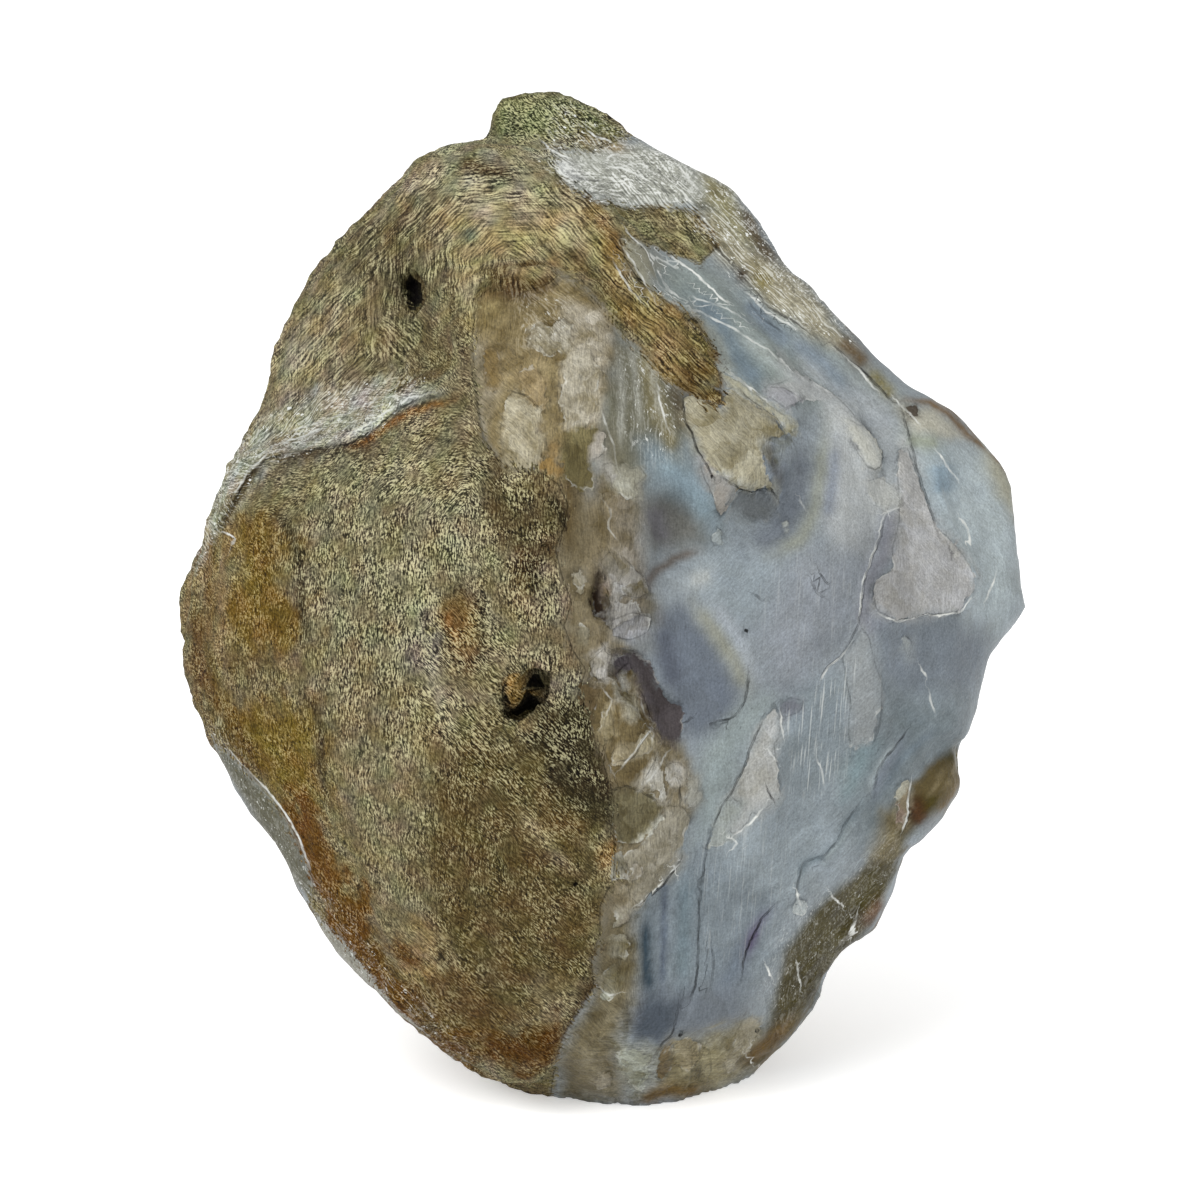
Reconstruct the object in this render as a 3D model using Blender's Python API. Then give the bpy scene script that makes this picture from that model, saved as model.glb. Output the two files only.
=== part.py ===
"""A rough blue lace agate: a nodule broken open down one side, standing on a small flat spot.

The stone is one solid. Its forms are drawn in millimetres on its show side, which leans back from upright
by SHOW_TILT: u to the right, v up the show side, and w out of it. The forms of the far side are drawn in
the same way by someone who stands behind it, so their u runs to the left.

A finely divided ball is drawn out to the stone's outline and depth and planed by its broken faces. Plates,
ledges, ridges, furrows, lumps and hollows then move its surface along its own normals, and it is thinned
out to the triangles that this shape needs. The flat spot is cut last.
"""

import math

import bmesh
import bpy
import numpy as np
from mathutils import Matrix, Vector, noise

MM = 0.001

# The rough body, in millimetres
FRONT_DEPTH = 35.5
BACK_DEPTH = 31.0
BODY_FULLNESS = 2.35  # 2 is an ellipse in depth, and more is boxier
BALL_DIVISIONS = 7
OUTLINE_SCALE = 0.985  # the outline is drawn as the eye sees it, with its near edge a little enlarged
RIM_SMOOTHING = math.radians(14.0)
RIM_DETAIL_DEPTH = 7.5  # how far a notch in the outline runs in depth
RIM_BELT = (0.5, 6.0)  # forms start at the first depth from the outline, and are whole past the second

# How it stands
SHOW_TILT = math.radians(12.0)
SHOW_ORIGIN = (-0.13, 2.65, 46.3)  # the show frame's origin, from the middle of the flat spot's plane
CUTTER_SIZE = 120.0

# Its surface
THINNED_SHARE = 0.112  # of the ball's triangles
RIND_LUMPS = (8.0, 0.55)  # how far apart they are, and how high
BREAK_WAVES = (17.0, 0.5)
FRONT_WANDER = (6.0, 0.5)  # how far apart the wobbles in the forms' edges are, and how wide
BACK_WANDER = (11.0, 3.2)
LEDGE_LIP = 0.9  # how wide the steep part of a ledge is
LEDGE_TAPER = 0.12  # the share of a ledge at each end over which it dies out
RIDGE_TAPER = 0.25
RIDGE_END_HEIGHT = 0.25  # of a ridge's full height
LUMP_SHOULDER = 1.5  # 1 is a bell, and more is flatter on top with steeper sides
NOISE_ROUGHNESS = 0.55
NOISE_GAP = 2.1  # how much finer each layer of noise is than the one before
NOISE_LAYERS = 3
NOISE_SHIFT = (17.3, -9.1, 5.7)  # between one seed's noise and the next's

# Where the rind ends on the show side: along a line that leans a little, and short of the outline
BREAK_LEAN = 0.12
BREAK_EDGE = (0.0, 8.0)
BREAK_DEPTH = (-6.0, 2.0)
BARE_PATCHES = ("bare window", "low scar")

# The outline, square to the show side, clockwise from the top knob. Its lowest stretch is below the flat
# spot and is cut away.
OUTLINE = [
    (-8.0, 51.0), (-5.5, 50.8), (-3.4, 50.3), (-0.8, 49.2), (2.0, 47.4), (6.1, 45.0), (9.2, 43.3),
    (13.5, 41.9), (16.5, 37.5), (18.6, 33.3), (21.8, 31.2), (23.2, 28.6), (24.8, 26.6), (27.3, 23.6),
    (29.3, 20.0), (31.8, 20.3), (35.6, 19.6), (38.4, 17.6), (41.8, 13.9), (42.7, 12.0), (42.8, 2.5),
    (43.1, -0.8), (42.4, -1.9), (38.8, -5.4), (37.0, -9.0), (36.0, -15.6), (35.2, -19.4), (32.8, -21.4),
    (30.4, -22.4), (30.1, -25.0), (29.8, -29.0), (27.7, -33.2), (24.2, -35.2), (22.6, -38.0),
    (22.0, -40.6), (18.9, -44.6), (14.8, -48.2), (10.2, -52.6), (5.0, -55.4), (-1.0, -55.4),
    (-7.4, -52.2), (-11.6, -47.4), (-14.8, -43.6), (-18.6, -39.7), (-23.9, -35.9), (-27.7, -30.5),
    (-31.0, -25.3), (-34.3, -19.3), (-38.1, -12.1), (-40.3, -7.4), (-42.5, -2.6), (-42.3, 1.2),
    (-40.5, 4.6), (-38.6, 9.6), (-37.9, 12.0), (-35.7, 15.6), (-33.9, 19.6), (-32.4, 24.8),
    (-30.4, 29.6), (-29.0, 32.2), (-26.6, 35.2), (-23.0, 39.0), (-18.7, 43.0), (-15.1, 46.3),
    (-12.6, 46.6), (-10.9, 46.8), (-10.9, 47.6), (-10.0, 49.4),
]

# Broken and worn faces: a point (u, v, w) on the face, the way it faces, and how softly it meets the rest
FACES = {
    "rind shield": ((-20.0, -5.0, 24.5), (-0.42, -0.04, 0.91), 2.5),
    "left flank": ((-35.5, -2.0, 12.0), (-0.84, 0.04, 0.54), 3.0),
    "lower left flank": ((-26.0, -25.0, 14.0), (-0.70, -0.34, 0.62), 3.0),
    "rind foot": ((-12.0, -37.0, 19.0), (-0.25, -0.45, 0.86), 4.0),
    "upper left shoulder": ((-24.0, 28.0, 11.0), (-0.60, 0.36, 0.72), 2.5),
    "crown": ((-2.0, 38.0, 15.5), (-0.08, 0.64, 0.76), 4.0),
    "crown right": ((13.0, 34.0, 10.0), (0.42, 0.60, 0.67), 2.0),
    "blue face": ((16.0, 0.0, 27.5), (0.34, 0.04, 0.94), 1.5),
    "upper blue": ((22.0, 20.0, 17.0), (0.56, 0.36, 0.75), 2.0),
    "blue right": ((34.0, 2.0, 13.0), (0.82, 0.02, 0.57), 1.5),
    "lower blue": ((19.0, -22.0, 22.0), (0.46, -0.20, 0.87), 1.5),
    "blue foot": ((12.0, -36.0, 19.5), (0.30, -0.46, 0.84), 2.5),
    "foot left": ((-9.0, -44.0, 12.5), (-0.24, -0.85, 0.42), 2.5),
    "foot right": ((11.0, -45.0, 11.0), (0.35, -0.80, 0.48), 2.0),
    "lower right rim": ((27.0, -33.0, 6.0), (0.66, -0.55, 0.51), 2.0),
    "back left": ((-16.0, 8.0, -24.0), (-0.46, 0.16, -0.87), 2.0),
    "back right": ((18.0, 14.0, -22.0), (0.46, 0.30, -0.84), 2.0),
    "back low": ((4.0, -26.0, -24.0), (0.08, -0.36, -0.93), 3.0),
    "back left low": ((-30.0, -18.0, -10.0), (-0.76, -0.32, -0.56), 3.0),
    "back right low": ((31.0, -16.0, -10.0), (0.78, -0.26, -0.57), 2.0),
    "back crown": ((-4.0, 40.0, -10.0), (-0.20, 0.76, -0.62), 2.5),
    "back crown right": ((20.0, 30.0, -6.0), (0.70, 0.46, -0.55), 2.0),
}

# Plates: the outline of a patch that stands out or lies lower, its height, and the width of its edge
FRONT_PLATES = {
    "rind shield": (
        [(-35, 14), (-30, 15), (-25.5, 15.3), (-22.5, 17), (-20, 19.5), (-16, 20.8), (-13, 21), (-12, 14),
         (-4, 11), (-3.5, 6), (-6, 2), (-4, -4), (0, -10), (1, -18), (2, -26), (0, -33), (-2, -40),
         (-6, -46.5), (-14, -46), (-21, -39.5), (-27, -32), (-30, -26), (-36, -16), (-40.5, -6), (-39, 3),
         (-37, 10)],
        1.5, 1.3),
    "milky window": (
        [(-11, 30), (-6, 31), (0, 29), (1, 22), (1, 14), (-3, 12.5), (-8, 13), (-11, 18), (-12.5, 25)],
        1.3, 3.0),
    "olive glass": ([(-3, 17), (0.5, 16), (1, 0), (-0.5, -6), (-4, 2), (-2, 9)], -1.2, 2.0),
    "beige flake": (
        [(8.5, 20), (12, 19), (17.5, 17), (19.5, 15), (18.5, 12.5), (14, 11.2), (11, 8.5), (9.5, 14)],
        1.1, 0.8),
    "white flake": ([(22, 20.5), (27, 19), (28.7, 14), (26.5, 12.8), (24, 16.5)], 0.6, 0.8),
    "pink flake": (
        [(29, 15), (31.5, 14), (33.5, 8), (36.8, 4.5), (36.6, 1), (34, -1.2), (28, -1), (27.5, 3),
         (29.5, 8)],
        0.9, 0.7),
    "long white flake": ([(15.5, -10.5), (18, -11.5), (17.5, -19), (15, -24), (12.8, -23.5), (14, -17)],
                         0.7, 0.7),
    "tongue flake": ([(26, -3), (28, -4), (28.8, -10), (28, -17), (26, -18.5), (25, -12), (24, -7)],
                     0.6, 0.7),
    "chip bank": (
        [(0.5, 12), (3.5, 11), (5, 5), (4, 0), (1.8, -1.5), (0.2, 3)],
        0.9, 1.2),
    "lower chip bank": (
        [(0.5, -10), (4, -10.5), (6.5, -15), (9.5, -18.5), (7.5, -23), (5, -28), (2.5, -31.5), (2, -24),
         (1, -17)],
        1.2, 1.0),
    "frost": ([(-4.5, 44), (1, 43), (8, 41), (10, 39), (6, 38.5), (-1, 40), (-4, 41.5)], 0.7, 1.5),
    "rim lump": ([(31, -20), (36.6, -15.5), (38, -22), (33, -25), (30.5, -24)], 1.2, 1.2),
}

# Ledges: a line that drops on its right hand, how deep, and how far the drop takes to fade out
FRONT_LEDGES = {
    "middle ledge": (
        [(27.5, 22), (28.5, 19), (28.8, 9), (27.5, 3), (26.2, -2.5), (23, -7.2), (19.5, -9.2), (16.5, -14),
         (13.5, -19), (11.2, -25), (10, -30), (9.2, -36)],
        1.2, 12.0),
    "right arc": (
        [(20, 29.5), (24.5, 26), (26.8, 23.2), (29.5, 19), (31.5, 13), (32.5, 8), (34.5, 5.5), (36.5, 5)],
        2.3, 16.0),
    "lower crack": ([(12.4, -17), (10.4, -24), (9.6, -30), (9.2, -36), (8.8, -40), (6, -45)], 0.7, 5.0),
    "purple crack": ([(18, -27), (15.5, -31), (13.4, -36), (12, -41)], 0.8, 6.0),
    "rim edge": ([(36.3, -14), (33, -17.5), (31, -19.5), (30.5, -23.5)], 2.2, 9.0),
    "foot edge": ([(2.5, -31.5), (1.5, -36), (2.5, -42), (1, -47)], 0.9, 6.0),
    "crown edge": ([(-1, 40.5), (5, 38.6), (9, 36.5), (13.5, 32.8), (17, 29.5), (22, 26.5)], 1.2, 7.0),
}

# Ridges and furrows: a line, its height, and its half width
FRONT_RIDGES = {
    "arch": (
        [(-19, 33), (-18, 38.5), (-16, 41), (-13.5, 41.8), (-10, 41.2), (-4, 38.6), (1, 34.6), (6, 29),
         (10, 24), (12, 20)],
        2.1, 2.8),
    "arch foot left": ([(-13.5, 33), (-13, 27), (-12.6, 21.5)], 0.8, 1.6),
    "under the arch": ([(-10, 34), (-6, 33.5), (-2, 31)], -1.3, 1.8),
    "knob crease": ([(-15, 45), (-11, 45.4), (-6, 44.6), (-1, 44.2)], -1.1, 1.0),
    "shoulder furrow": ([(-17, 40), (-18.5, 35), (-19, 31), (-18.2, 25)], -0.8, 1.0),
    "blue channel": ([(4, 33), (8, 29.5), (12, 25.5), (15.5, 21.5)], -2.0, 2.4),
    "channel ridge": ([(5, 36), (10, 31.5), (14, 27), (17, 23), (20, 20)], 0.9, 1.1),
    "second channel": ([(12, 32), (17, 27.5), (22, 22.5), (26, 18)], -0.9, 2.0),
    "band above the lip": ([(-33, 14.5), (-26, 18.5), (-21, 21.5), (-16, 22.5)], -1.0, 1.8),
    "shield swelling": ([(-17, 10), (-20, 0), (-21, -12), (-19, -24)], 1.6, 6.0),
    "middle swelling": ([(-7, 1), (-6, -10), (-5, -20), (-8, -32)], 1.2, 5.0),
    "nose": ([(1.2, 15), (0.8, 5), (1.5, -5), (3, -16)], 1.2, 2.5),
    "grey shadow": ([(4, 2), (7, 4), (10, 5)], -1.1, 1.2),
    "band shelf": ([(9.5, 1), (12, -3), (14.5, -8)], 0.5, 2.4),
    "lower furrow": ([(26, -13), (20, -20), (15.5, -26)], -0.8, 2.4),
}

# Lumps and hollows: the middle, the half lengths along and across it, its turn in degrees, and its height
FRONT_LUMPS = {
    "knob": ((-5.0, 47.6), (6.2, 2.6), -14, 1.8),
    "dome": ((-7.5, 29.0), (10.0, 11.0), 0, 1.3),
    "shoulder": ((-25.0, 27.0), (8.0, 8.0), 0, 1.0),
    "eye pit": ((-18.8, 30.6), (2.1, 1.0), 82, -2.4),
    "grain hole": ((-7.2, -9.2), (2.4, 1.6), 60, -3.0),
    "brown pocket": ((0.6, 0.4), (2.6, 0.9), 84, -2.4),
    "purple pocket": ((3.4, -8.4), (4.2, 1.5), -58, -3.0),
    "shadow pocket": ((7.2, 7.6), (2.9, 1.9), 75, -2.3),
    "scoop": ((17.0, 8.8), (5.6, 2.7), 20, -2.2),
    "scoop side": ((20.6, 14.0), (5.0, 2.0), 74, -1.3),
    "blue swell": ((23.0, 7.0), (6.5, 5.0), 80, 0.9),
    "far right hollow": ((37.0, 9.0), (6.5, 3.0), 100, -1.4),
    "low left corner": ((-31.0, 6.0), (7.0, 5.0), 70, 1.3),
    "ochre lump": ((-34.5, -8.0), (7.5, 4.5), 100, 1.0),
    "peach knot": ((-13.8, -2.6), (2.6, 1.5), 100, 0.9),
    "dark pit": ((-21.0, -13.2), (1.6, 0.8), 95, -0.9),
    "brown dent": ((10.5, -43.0), (4.0, 2.0), 10, -1.2),
    "rust lump": ((-6.5, -43.5), (3.4, 2.2), 20, 1.2),
    "rim dark spot": ((14.2, 32.6), (1.3, 0.8), -20, -1.1),
}

BACK_PLATES = {
    "bare window": (
        [(-20, 30), (-8, 34), (3, 28), (9, 18), (6, 6), (-4, 0), (-16, 3), (-24, 12), (-25, 22)],
        -1.6, 1.0),
    "low scar": ([(8, -8), (20, -6), (27, -14), (22, -26), (12, -30), (4, -22)], -1.5, 0.9),
    "scale": ([(-22, -14), (-12, -10), (-6, -18), (-10, -30), (-20, -30)], 1.1, 1.1),
}
BACK_LEDGES = {
    "window step": ([(-14, 28), (-9, 20), (-8, 12), (-12, 5)], 1.1, 9.0),
    "side step": ([(30, 22), (25, 12), (27, 2), (24, -6)], 1.4, 10.0),
    "foot step": ([(-8, -22), (2, -26), (10, -34), (12, -42)], 1.2, 9.0),
}
BACK_RIDGES = {
    "long ridge": ([(14, 38), (16, 26), (12, 12), (14, 0), (6, -12)], 1.6, 4.0),
    "left furrow": ([(-30, 16), (-24, 4), (-26, -8)], -1.2, 3.0),
    "crown furrow": ([(-12, 44), (-2, 40), (8, 42)], -1.0, 2.0),
    "low ridge": ([(-26, -20), (-14, -28), (-4, -40)], 1.2, 3.5),
}
BACK_LUMPS = {
    "window dish": ((-9.0, 17.0), (12.0, 8.0), 60, -1.6),
    "scar dish": ((16.0, -17.0), (8.0, 6.5), -40, -1.4),
    "boss": ((24.0, 10.0), (8.0, 6.0), 70, 1.8),
    "left boss": ((-30.0, -2.0), (6.0, 8.0), 20, 1.6),
    "foot boss": ((-4.0, -34.0), (9.0, 5.0), 0, 1.6),
    "round pit": ((20.0, 30.0), (2.4, 1.8), 30, -1.8),
    "second pit": ((-18.0, -22.0), (2.0, 1.4), -20, -1.4),
}


def smooth_step(value, low, high):
    share = np.clip((value - low) / (high - low), 0.0, 1.0)
    return share * share * (3.0 - 2.0 * share)


def soft_min(a, b, width):
    """The lesser of a and b, rounded off where they cross within width."""
    share = np.clip(0.5 + 0.5 * (b - a) / width, 0.0, 1.0)
    return b * (1 - share) + a * share - width * share * (1 - share)


def to_segments(flat, line):
    """The distance from each point to each of the line's segments, the side it lies on, and where along."""
    start = np.array(line[:-1], float)
    run = np.array(line[1:], float) - start
    away = flat[:, None, :] - start[None, :, :]
    share = np.clip((away * run).sum(axis=2) / (run * run).sum(axis=1), 0.0, 1.0)
    gap = np.linalg.norm(away - share[:, :, None] * run, axis=2)
    side = run[:, 0] * away[:, :, 1] - run[:, 1] * away[:, :, 0]
    return gap, side, share


def near_line(flat, line):
    """The distance from each point to an open line, which side it lies on, and its place from 0 to 1."""
    gap, side, share = to_segments(flat, line)
    nearest = gap.argmin(axis=1)
    row = np.arange(len(flat))
    return gap[row, nearest], side[row, nearest], (nearest + share[row, nearest]) / (len(line) - 1)


def inside_by(flat, outline):
    """How far each point lies inside a closed outline, which is negative outside it."""
    closed = outline + outline[:1]
    gap, _, _ = to_segments(flat, closed)
    x, y = flat[:, 0], flat[:, 1]
    inside = np.zeros(len(flat), bool)
    for (x1, y1), (x2, y2) in zip(closed[:-1], closed[1:]):
        crosses = (y1 > y) != (y2 > y)
        inside ^= crosses & (x < (x2 - x1) * (y - y1) / ((y2 - y1) or 1.0) + x1)
    return np.where(inside, 1.0, -1.0) * gap.min(axis=1)


def fractal(points, spacing, seed):
    """Smooth noise from about -1 to 1 at each point, with its hills about spacing apart."""
    shift = seed * Vector(NOISE_SHIFT)
    layers = (NOISE_ROUGHNESS, NOISE_GAP, NOISE_LAYERS)
    return np.array([noise.fractal(Vector(point) / spacing + shift, *layers) for point in points])


def wander(points, spacing, width, seed):
    """The points' u and v, moved about a little so that a form drawn with them has a natural edge."""
    across = fractal(points, spacing, seed)
    up = fractal(points, spacing, seed + 1)
    return points[:, :2] + width * np.stack([across, up], axis=1)


def polar_radius(outline, angles):
    """How far the closed outline lies from the origin at each angle."""
    start = OUTLINE_SCALE * np.array(outline, float)
    edge = np.roll(start, -1, axis=0) - start
    ray = np.stack([np.cos(angles), np.sin(angles)], axis=1)
    across = ray[:, None, 0] * edge[None, :, 1] - ray[:, None, 1] * edge[None, :, 0]
    across = np.where(np.abs(across) < 1e-9, 1e-9, across)
    reach = (start[:, 0] * edge[:, 1] - start[:, 1] * edge[:, 0]) / across
    share = (start[None, :, 0] * ray[:, None, 1] - start[None, :, 1] * ray[:, None, 0]) / across
    hit = (share >= -1e-6) & (share <= 1 + 1e-6) & (reach > 0)
    return np.where(hit, reach, 0.0).max(axis=1)


def smoothed_radius(angles):
    """The outline's radius at each angle, without its small notches and corners."""
    steps = np.radians(np.arange(0.0, 360.0))
    gap = (steps[:, None] - steps[None, :] + math.pi) % (2 * math.pi) - math.pi
    weight = np.exp(-0.5 * (gap / RIM_SMOOTHING) ** 2)
    smooth = (weight @ polar_radius(OUTLINE, steps)) / weight.sum(axis=1)
    return np.interp(angles, steps, smooth, period=2 * math.pi)


def body_points(ways):
    """Where the stone's rough body lies in each unit direction."""
    angles = np.arctan2(ways[:, 1], ways[:, 0])
    smooth = smoothed_radius(angles)
    depth = np.where(ways[:, 2] > 0, FRONT_DEPTH, BACK_DEPTH)
    level = np.hypot(ways[:, 0], ways[:, 1]) / smooth
    out = np.abs(ways[:, 2]) / depth
    reach = (level ** BODY_FULLNESS + out ** BODY_FULLNESS) ** (-1 / BODY_FULLNESS)
    for point, facing, softness in FACES.values():
        facing = np.array(facing) / np.linalg.norm(facing)
        towards = np.maximum(ways @ facing, 0.02)
        reach = soft_min(reach, (np.array(point) @ facing) / towards, softness)
    near_rim = np.exp(-((reach * ways[:, 2] / RIM_DETAIL_DEPTH) ** 2))
    reach = reach + (polar_radius(OUTLINE, angles) - smooth) * near_rim
    return ways * reach[:, None]


def surface_moves(flat, plates, ledges, ridges, lumps):
    """How far the forms of one side move each point of it, outwards."""
    move = np.zeros(len(flat))
    for outline, height, edge in plates.values():
        move += height * smooth_step(inside_by(flat, outline), -edge / 2, edge / 2)
    for line, drop, fade in ledges.values():
        gap, side, along = near_line(flat, line)
        ends = smooth_step(along, 0.0, LEDGE_TAPER) * smooth_step(1 - along, 0.0, LEDGE_TAPER)
        below = np.where(side < 0, gap, -gap)
        step = smooth_step(below, -LEDGE_LIP / 2, LEDGE_LIP / 2)
        move -= drop * ends * step * np.exp(-np.maximum(below, 0.0) / fade)
    for line, height, half_width in ridges.values():
        gap, _, along = near_line(flat, line)
        ends = smooth_step(along, 0.0, RIDGE_TAPER) * smooth_step(1 - along, 0.0, RIDGE_TAPER)
        ends = RIDGE_END_HEIGHT + (1 - RIDGE_END_HEIGHT) * ends
        move += height * ends * np.exp(-((gap / half_width) ** 2))
    for middle, (along, across), turn, height in lumps.values():
        turn = math.radians(turn)
        du, dv = (flat - np.array(middle)).T
        far = ((du * math.cos(turn) + dv * math.sin(turn)) / along) ** 2
        far += ((dv * math.cos(turn) - du * math.sin(turn)) / across) ** 2
        move += height * np.exp(-(far ** LUMP_SHOULDER))
    return move


def rind_share(points):
    """1 where the rough rind still covers the stone, and 0 where it is broken down to the chalcedony."""
    u, v, w = points.T
    bare = smooth_step(u + BREAK_LEAN * v, *BREAK_EDGE) * smooth_step(w, *BREAK_DEPTH)
    behind = np.stack([-u, v], axis=1)
    for name in BARE_PATCHES:
        outline, _, edge = BACK_PLATES[name]
        bare = np.maximum(bare, smooth_step(inside_by(behind, outline), -edge, edge) * (w < 0))
    return 1 - bare


def shape_surface(mesh):
    """Carve the stone's forms and roughness into the rough body."""
    count = len(mesh.vertices) * 3
    points = np.empty(count, np.float32)
    normals = np.empty(count, np.float32)
    mesh.vertices.foreach_get("co", points)
    mesh.vertex_normals.foreach_get("vector", normals)
    points = points.reshape(-1, 3).astype(float)
    normals = normals.reshape(-1, 3).astype(float)
    front = smooth_step(points[:, 2], *RIM_BELT)
    ahead = wander(points, *FRONT_WANDER, 4)
    move = front * surface_moves(ahead, FRONT_PLATES, FRONT_LEDGES, FRONT_RIDGES, FRONT_LUMPS)
    back = smooth_step(-points[:, 2], *RIM_BELT)
    behind = wander(points, *BACK_WANDER, 6) * (-1, 1)
    move += back * surface_moves(behind, BACK_PLATES, BACK_LEDGES, BACK_RIDGES, BACK_LUMPS)
    rind = rind_share(points)
    spacing, height = RIND_LUMPS
    move += rind * height * fractal(points, spacing, 1)
    spacing, height = BREAK_WAVES
    move += (1 - rind) * height * fractal(points, spacing, 2)
    points += normals * move[:, None]
    mesh.vertices.foreach_set("co", points.astype(np.float32).ravel())


def show_to_stone():
    """The matrix from the show side's millimetres to the stone's own metres."""
    lean = Matrix((
        (1.0, 0.0, 0.0),
        (0.0, math.sin(SHOW_TILT), -math.cos(SHOW_TILT)),
        (0.0, math.cos(SHOW_TILT), math.sin(SHOW_TILT)),
    )).to_4x4()
    return Matrix.Scale(MM, 4) @ Matrix.Translation(SHOW_ORIGIN) @ lean


def rough_ball():
    shape = bmesh.new()
    bmesh.ops.create_icosphere(shape, subdivisions=BALL_DIVISIONS, radius=1.0)
    mesh = bpy.data.meshes.new("stone")
    shape.to_mesh(mesh)
    shape.free()
    ways = np.empty(len(mesh.vertices) * 3, np.float32)
    mesh.vertices.foreach_get("co", ways)
    ways = ways.reshape(-1, 3).astype(float)
    ways /= np.linalg.norm(ways, axis=1)[:, None]
    mesh.vertices.foreach_set("co", body_points(ways).astype(np.float32).ravel())
    mesh.update()
    return mesh


def stone_material():
    material = bpy.data.materials.new("agate")
    material.use_nodes = True
    finish = material.node_tree.nodes["Principled BSDF"]
    finish.inputs["Base Color"].default_value = (0.33, 0.35, 0.38, 1.0)
    finish.inputs["Roughness"].default_value = 0.5
    finish.inputs["Metallic"].default_value = 0.0
    return material


def make_cutter():
    """A block whose top face is the plane that the stone stands on."""
    shape = bmesh.new()
    bmesh.ops.create_cube(shape, size=CUTTER_SIZE * MM)
    bmesh.ops.translate(shape, verts=shape.verts, vec=(0.0, 0.0, -CUTTER_SIZE / 2 * MM))
    mesh = bpy.data.meshes.new("flat_spot_cutter")
    shape.to_mesh(mesh)
    shape.free()
    cutter = bpy.data.objects.new("flat_spot_cutter", mesh)
    cutter.hide_render = True
    cutter.display_type = "WIRE"
    bpy.context.scene.collection.objects.link(cutter)
    return cutter


def make_stone():
    mesh = rough_ball()
    shape_surface(mesh)
    mesh.transform(show_to_stone())
    mesh.materials.append(stone_material())
    stone = bpy.data.objects.new("stone", mesh)
    bpy.context.scene.collection.objects.link(stone)
    thin = stone.modifiers.new("thin out", "DECIMATE")
    thin.ratio = THINNED_SHARE
    cut = stone.modifiers.new("flat spot", "BOOLEAN")
    cut.object = make_cutter()
    cut.operation = "DIFFERENCE"
    cut.solver = "EXACT"
    return stone


def main():
    for old in list(bpy.data.objects):
        bpy.data.objects.remove(old)
    make_stone()


main()
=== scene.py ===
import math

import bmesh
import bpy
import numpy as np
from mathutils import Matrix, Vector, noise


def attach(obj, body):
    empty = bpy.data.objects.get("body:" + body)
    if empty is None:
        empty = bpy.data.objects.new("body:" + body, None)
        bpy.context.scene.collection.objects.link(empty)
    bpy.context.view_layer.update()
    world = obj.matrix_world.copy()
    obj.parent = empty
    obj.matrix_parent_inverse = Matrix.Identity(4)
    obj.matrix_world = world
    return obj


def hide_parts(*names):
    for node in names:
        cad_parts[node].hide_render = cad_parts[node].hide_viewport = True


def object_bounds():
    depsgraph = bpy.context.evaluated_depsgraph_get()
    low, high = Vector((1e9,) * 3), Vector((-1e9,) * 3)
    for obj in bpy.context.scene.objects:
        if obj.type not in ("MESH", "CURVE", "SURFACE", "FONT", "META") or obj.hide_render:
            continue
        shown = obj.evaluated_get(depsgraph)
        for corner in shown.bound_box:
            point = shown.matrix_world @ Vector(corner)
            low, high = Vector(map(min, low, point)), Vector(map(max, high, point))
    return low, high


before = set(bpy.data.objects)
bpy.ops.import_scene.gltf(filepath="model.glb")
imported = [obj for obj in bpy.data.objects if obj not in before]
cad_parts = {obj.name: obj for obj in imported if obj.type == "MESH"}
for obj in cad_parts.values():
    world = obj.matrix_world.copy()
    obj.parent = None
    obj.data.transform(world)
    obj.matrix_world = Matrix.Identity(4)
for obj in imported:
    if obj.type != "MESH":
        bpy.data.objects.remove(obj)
CAD_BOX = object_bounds()

# The looks of a rough blue lace agate: a nodule with brown basalt rind on its left, broken open on its
# right down to blue and lilac chalcedony, with a milky quartz window between the two.
#
# Its forms and colours are drawn in millimetres on the plane that faces the camera through the middle of
# the stone, to the right and up. Each is named for what it is on the stone. The far side is drawn in the
# same way by someone who stands behind it, so its first number runs to the left.
#
# The CAD solid is copied, divided finely and carved. Each of its points then gets soft colours, and how
# far it lies inside each sharp-edged patch and from each line, and the material draws the patches, lines
# and grain from those at full sharpness.

MM = 0.001

# How the stone stands and is seen
SHOW_TILT = math.radians(12.0)
SHOW_ORIGIN = (-0.13, 2.65, 46.3)  # the drawing plane's middle, in millimetres from the flat spot's
CAMERA_DISTANCE = 400.0
CAMERA_LENS = 120.0
CAMERA_SENSOR = 36.0

# The studio: where each lamp is, how wide it is and its power, in metres and watts
KEY_LAMP = ((-0.55, -0.75, 0.85), 0.7, 11.5)
FILL_LAMP = ((0.8, -0.6, 0.5), 0.6, 3.0)
LAMP_TARGET = (0.0, 0.0, 0.045)
WORLD_STRENGTH = 0.76
WHITE = (1.0, 1.0, 1.0, 1.0)
PAPER = (0.9, 0.9, 0.9, 1.0)
PAPER_ROUGHNESS = 0.9
PAPER_GLOW = 0.38
FLOOR_SIZE = 6.0
STUDIO_LIGHT = 1.6  # how much brighter than its colour a plain surface looks

# Its fine mesh
GRID = 0.555  # the size of a face
SMOOTHING_PASSES = 3
WELD = 0.01  # points of the CAD solid nearer than this are one
FOOT_HEIGHT = 0.3  # what is lower than this stands on the floor

# Noise
NOISE_ROUGHNESS = 0.55
NOISE_GAP = 2.1
NOISE_LAYERS = 3
NOISE_SHIFT = (17.3, -9.1, 5.7)
CELL_SPREAD = 37.0

# Carving by noise: how far apart its hills are, how high they are, and the noise's seed
RIND_LUMPS = ((4.0, 0.3, 20), (1.5, 0.17, 21))
BREAK_WAVES = (5.0, 0.12, 25)
QUARTZ_LUMPS = (2.4, 0.1, 27)
QUARTZ_FACETS = ((4.2, 0.1), (2.0, 0.05))
CARVED_EDGE = 0.3  # half the width of a carved step
RIND_EDGE = 0.5  # half the width over which its lumps give way to the broken face

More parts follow.
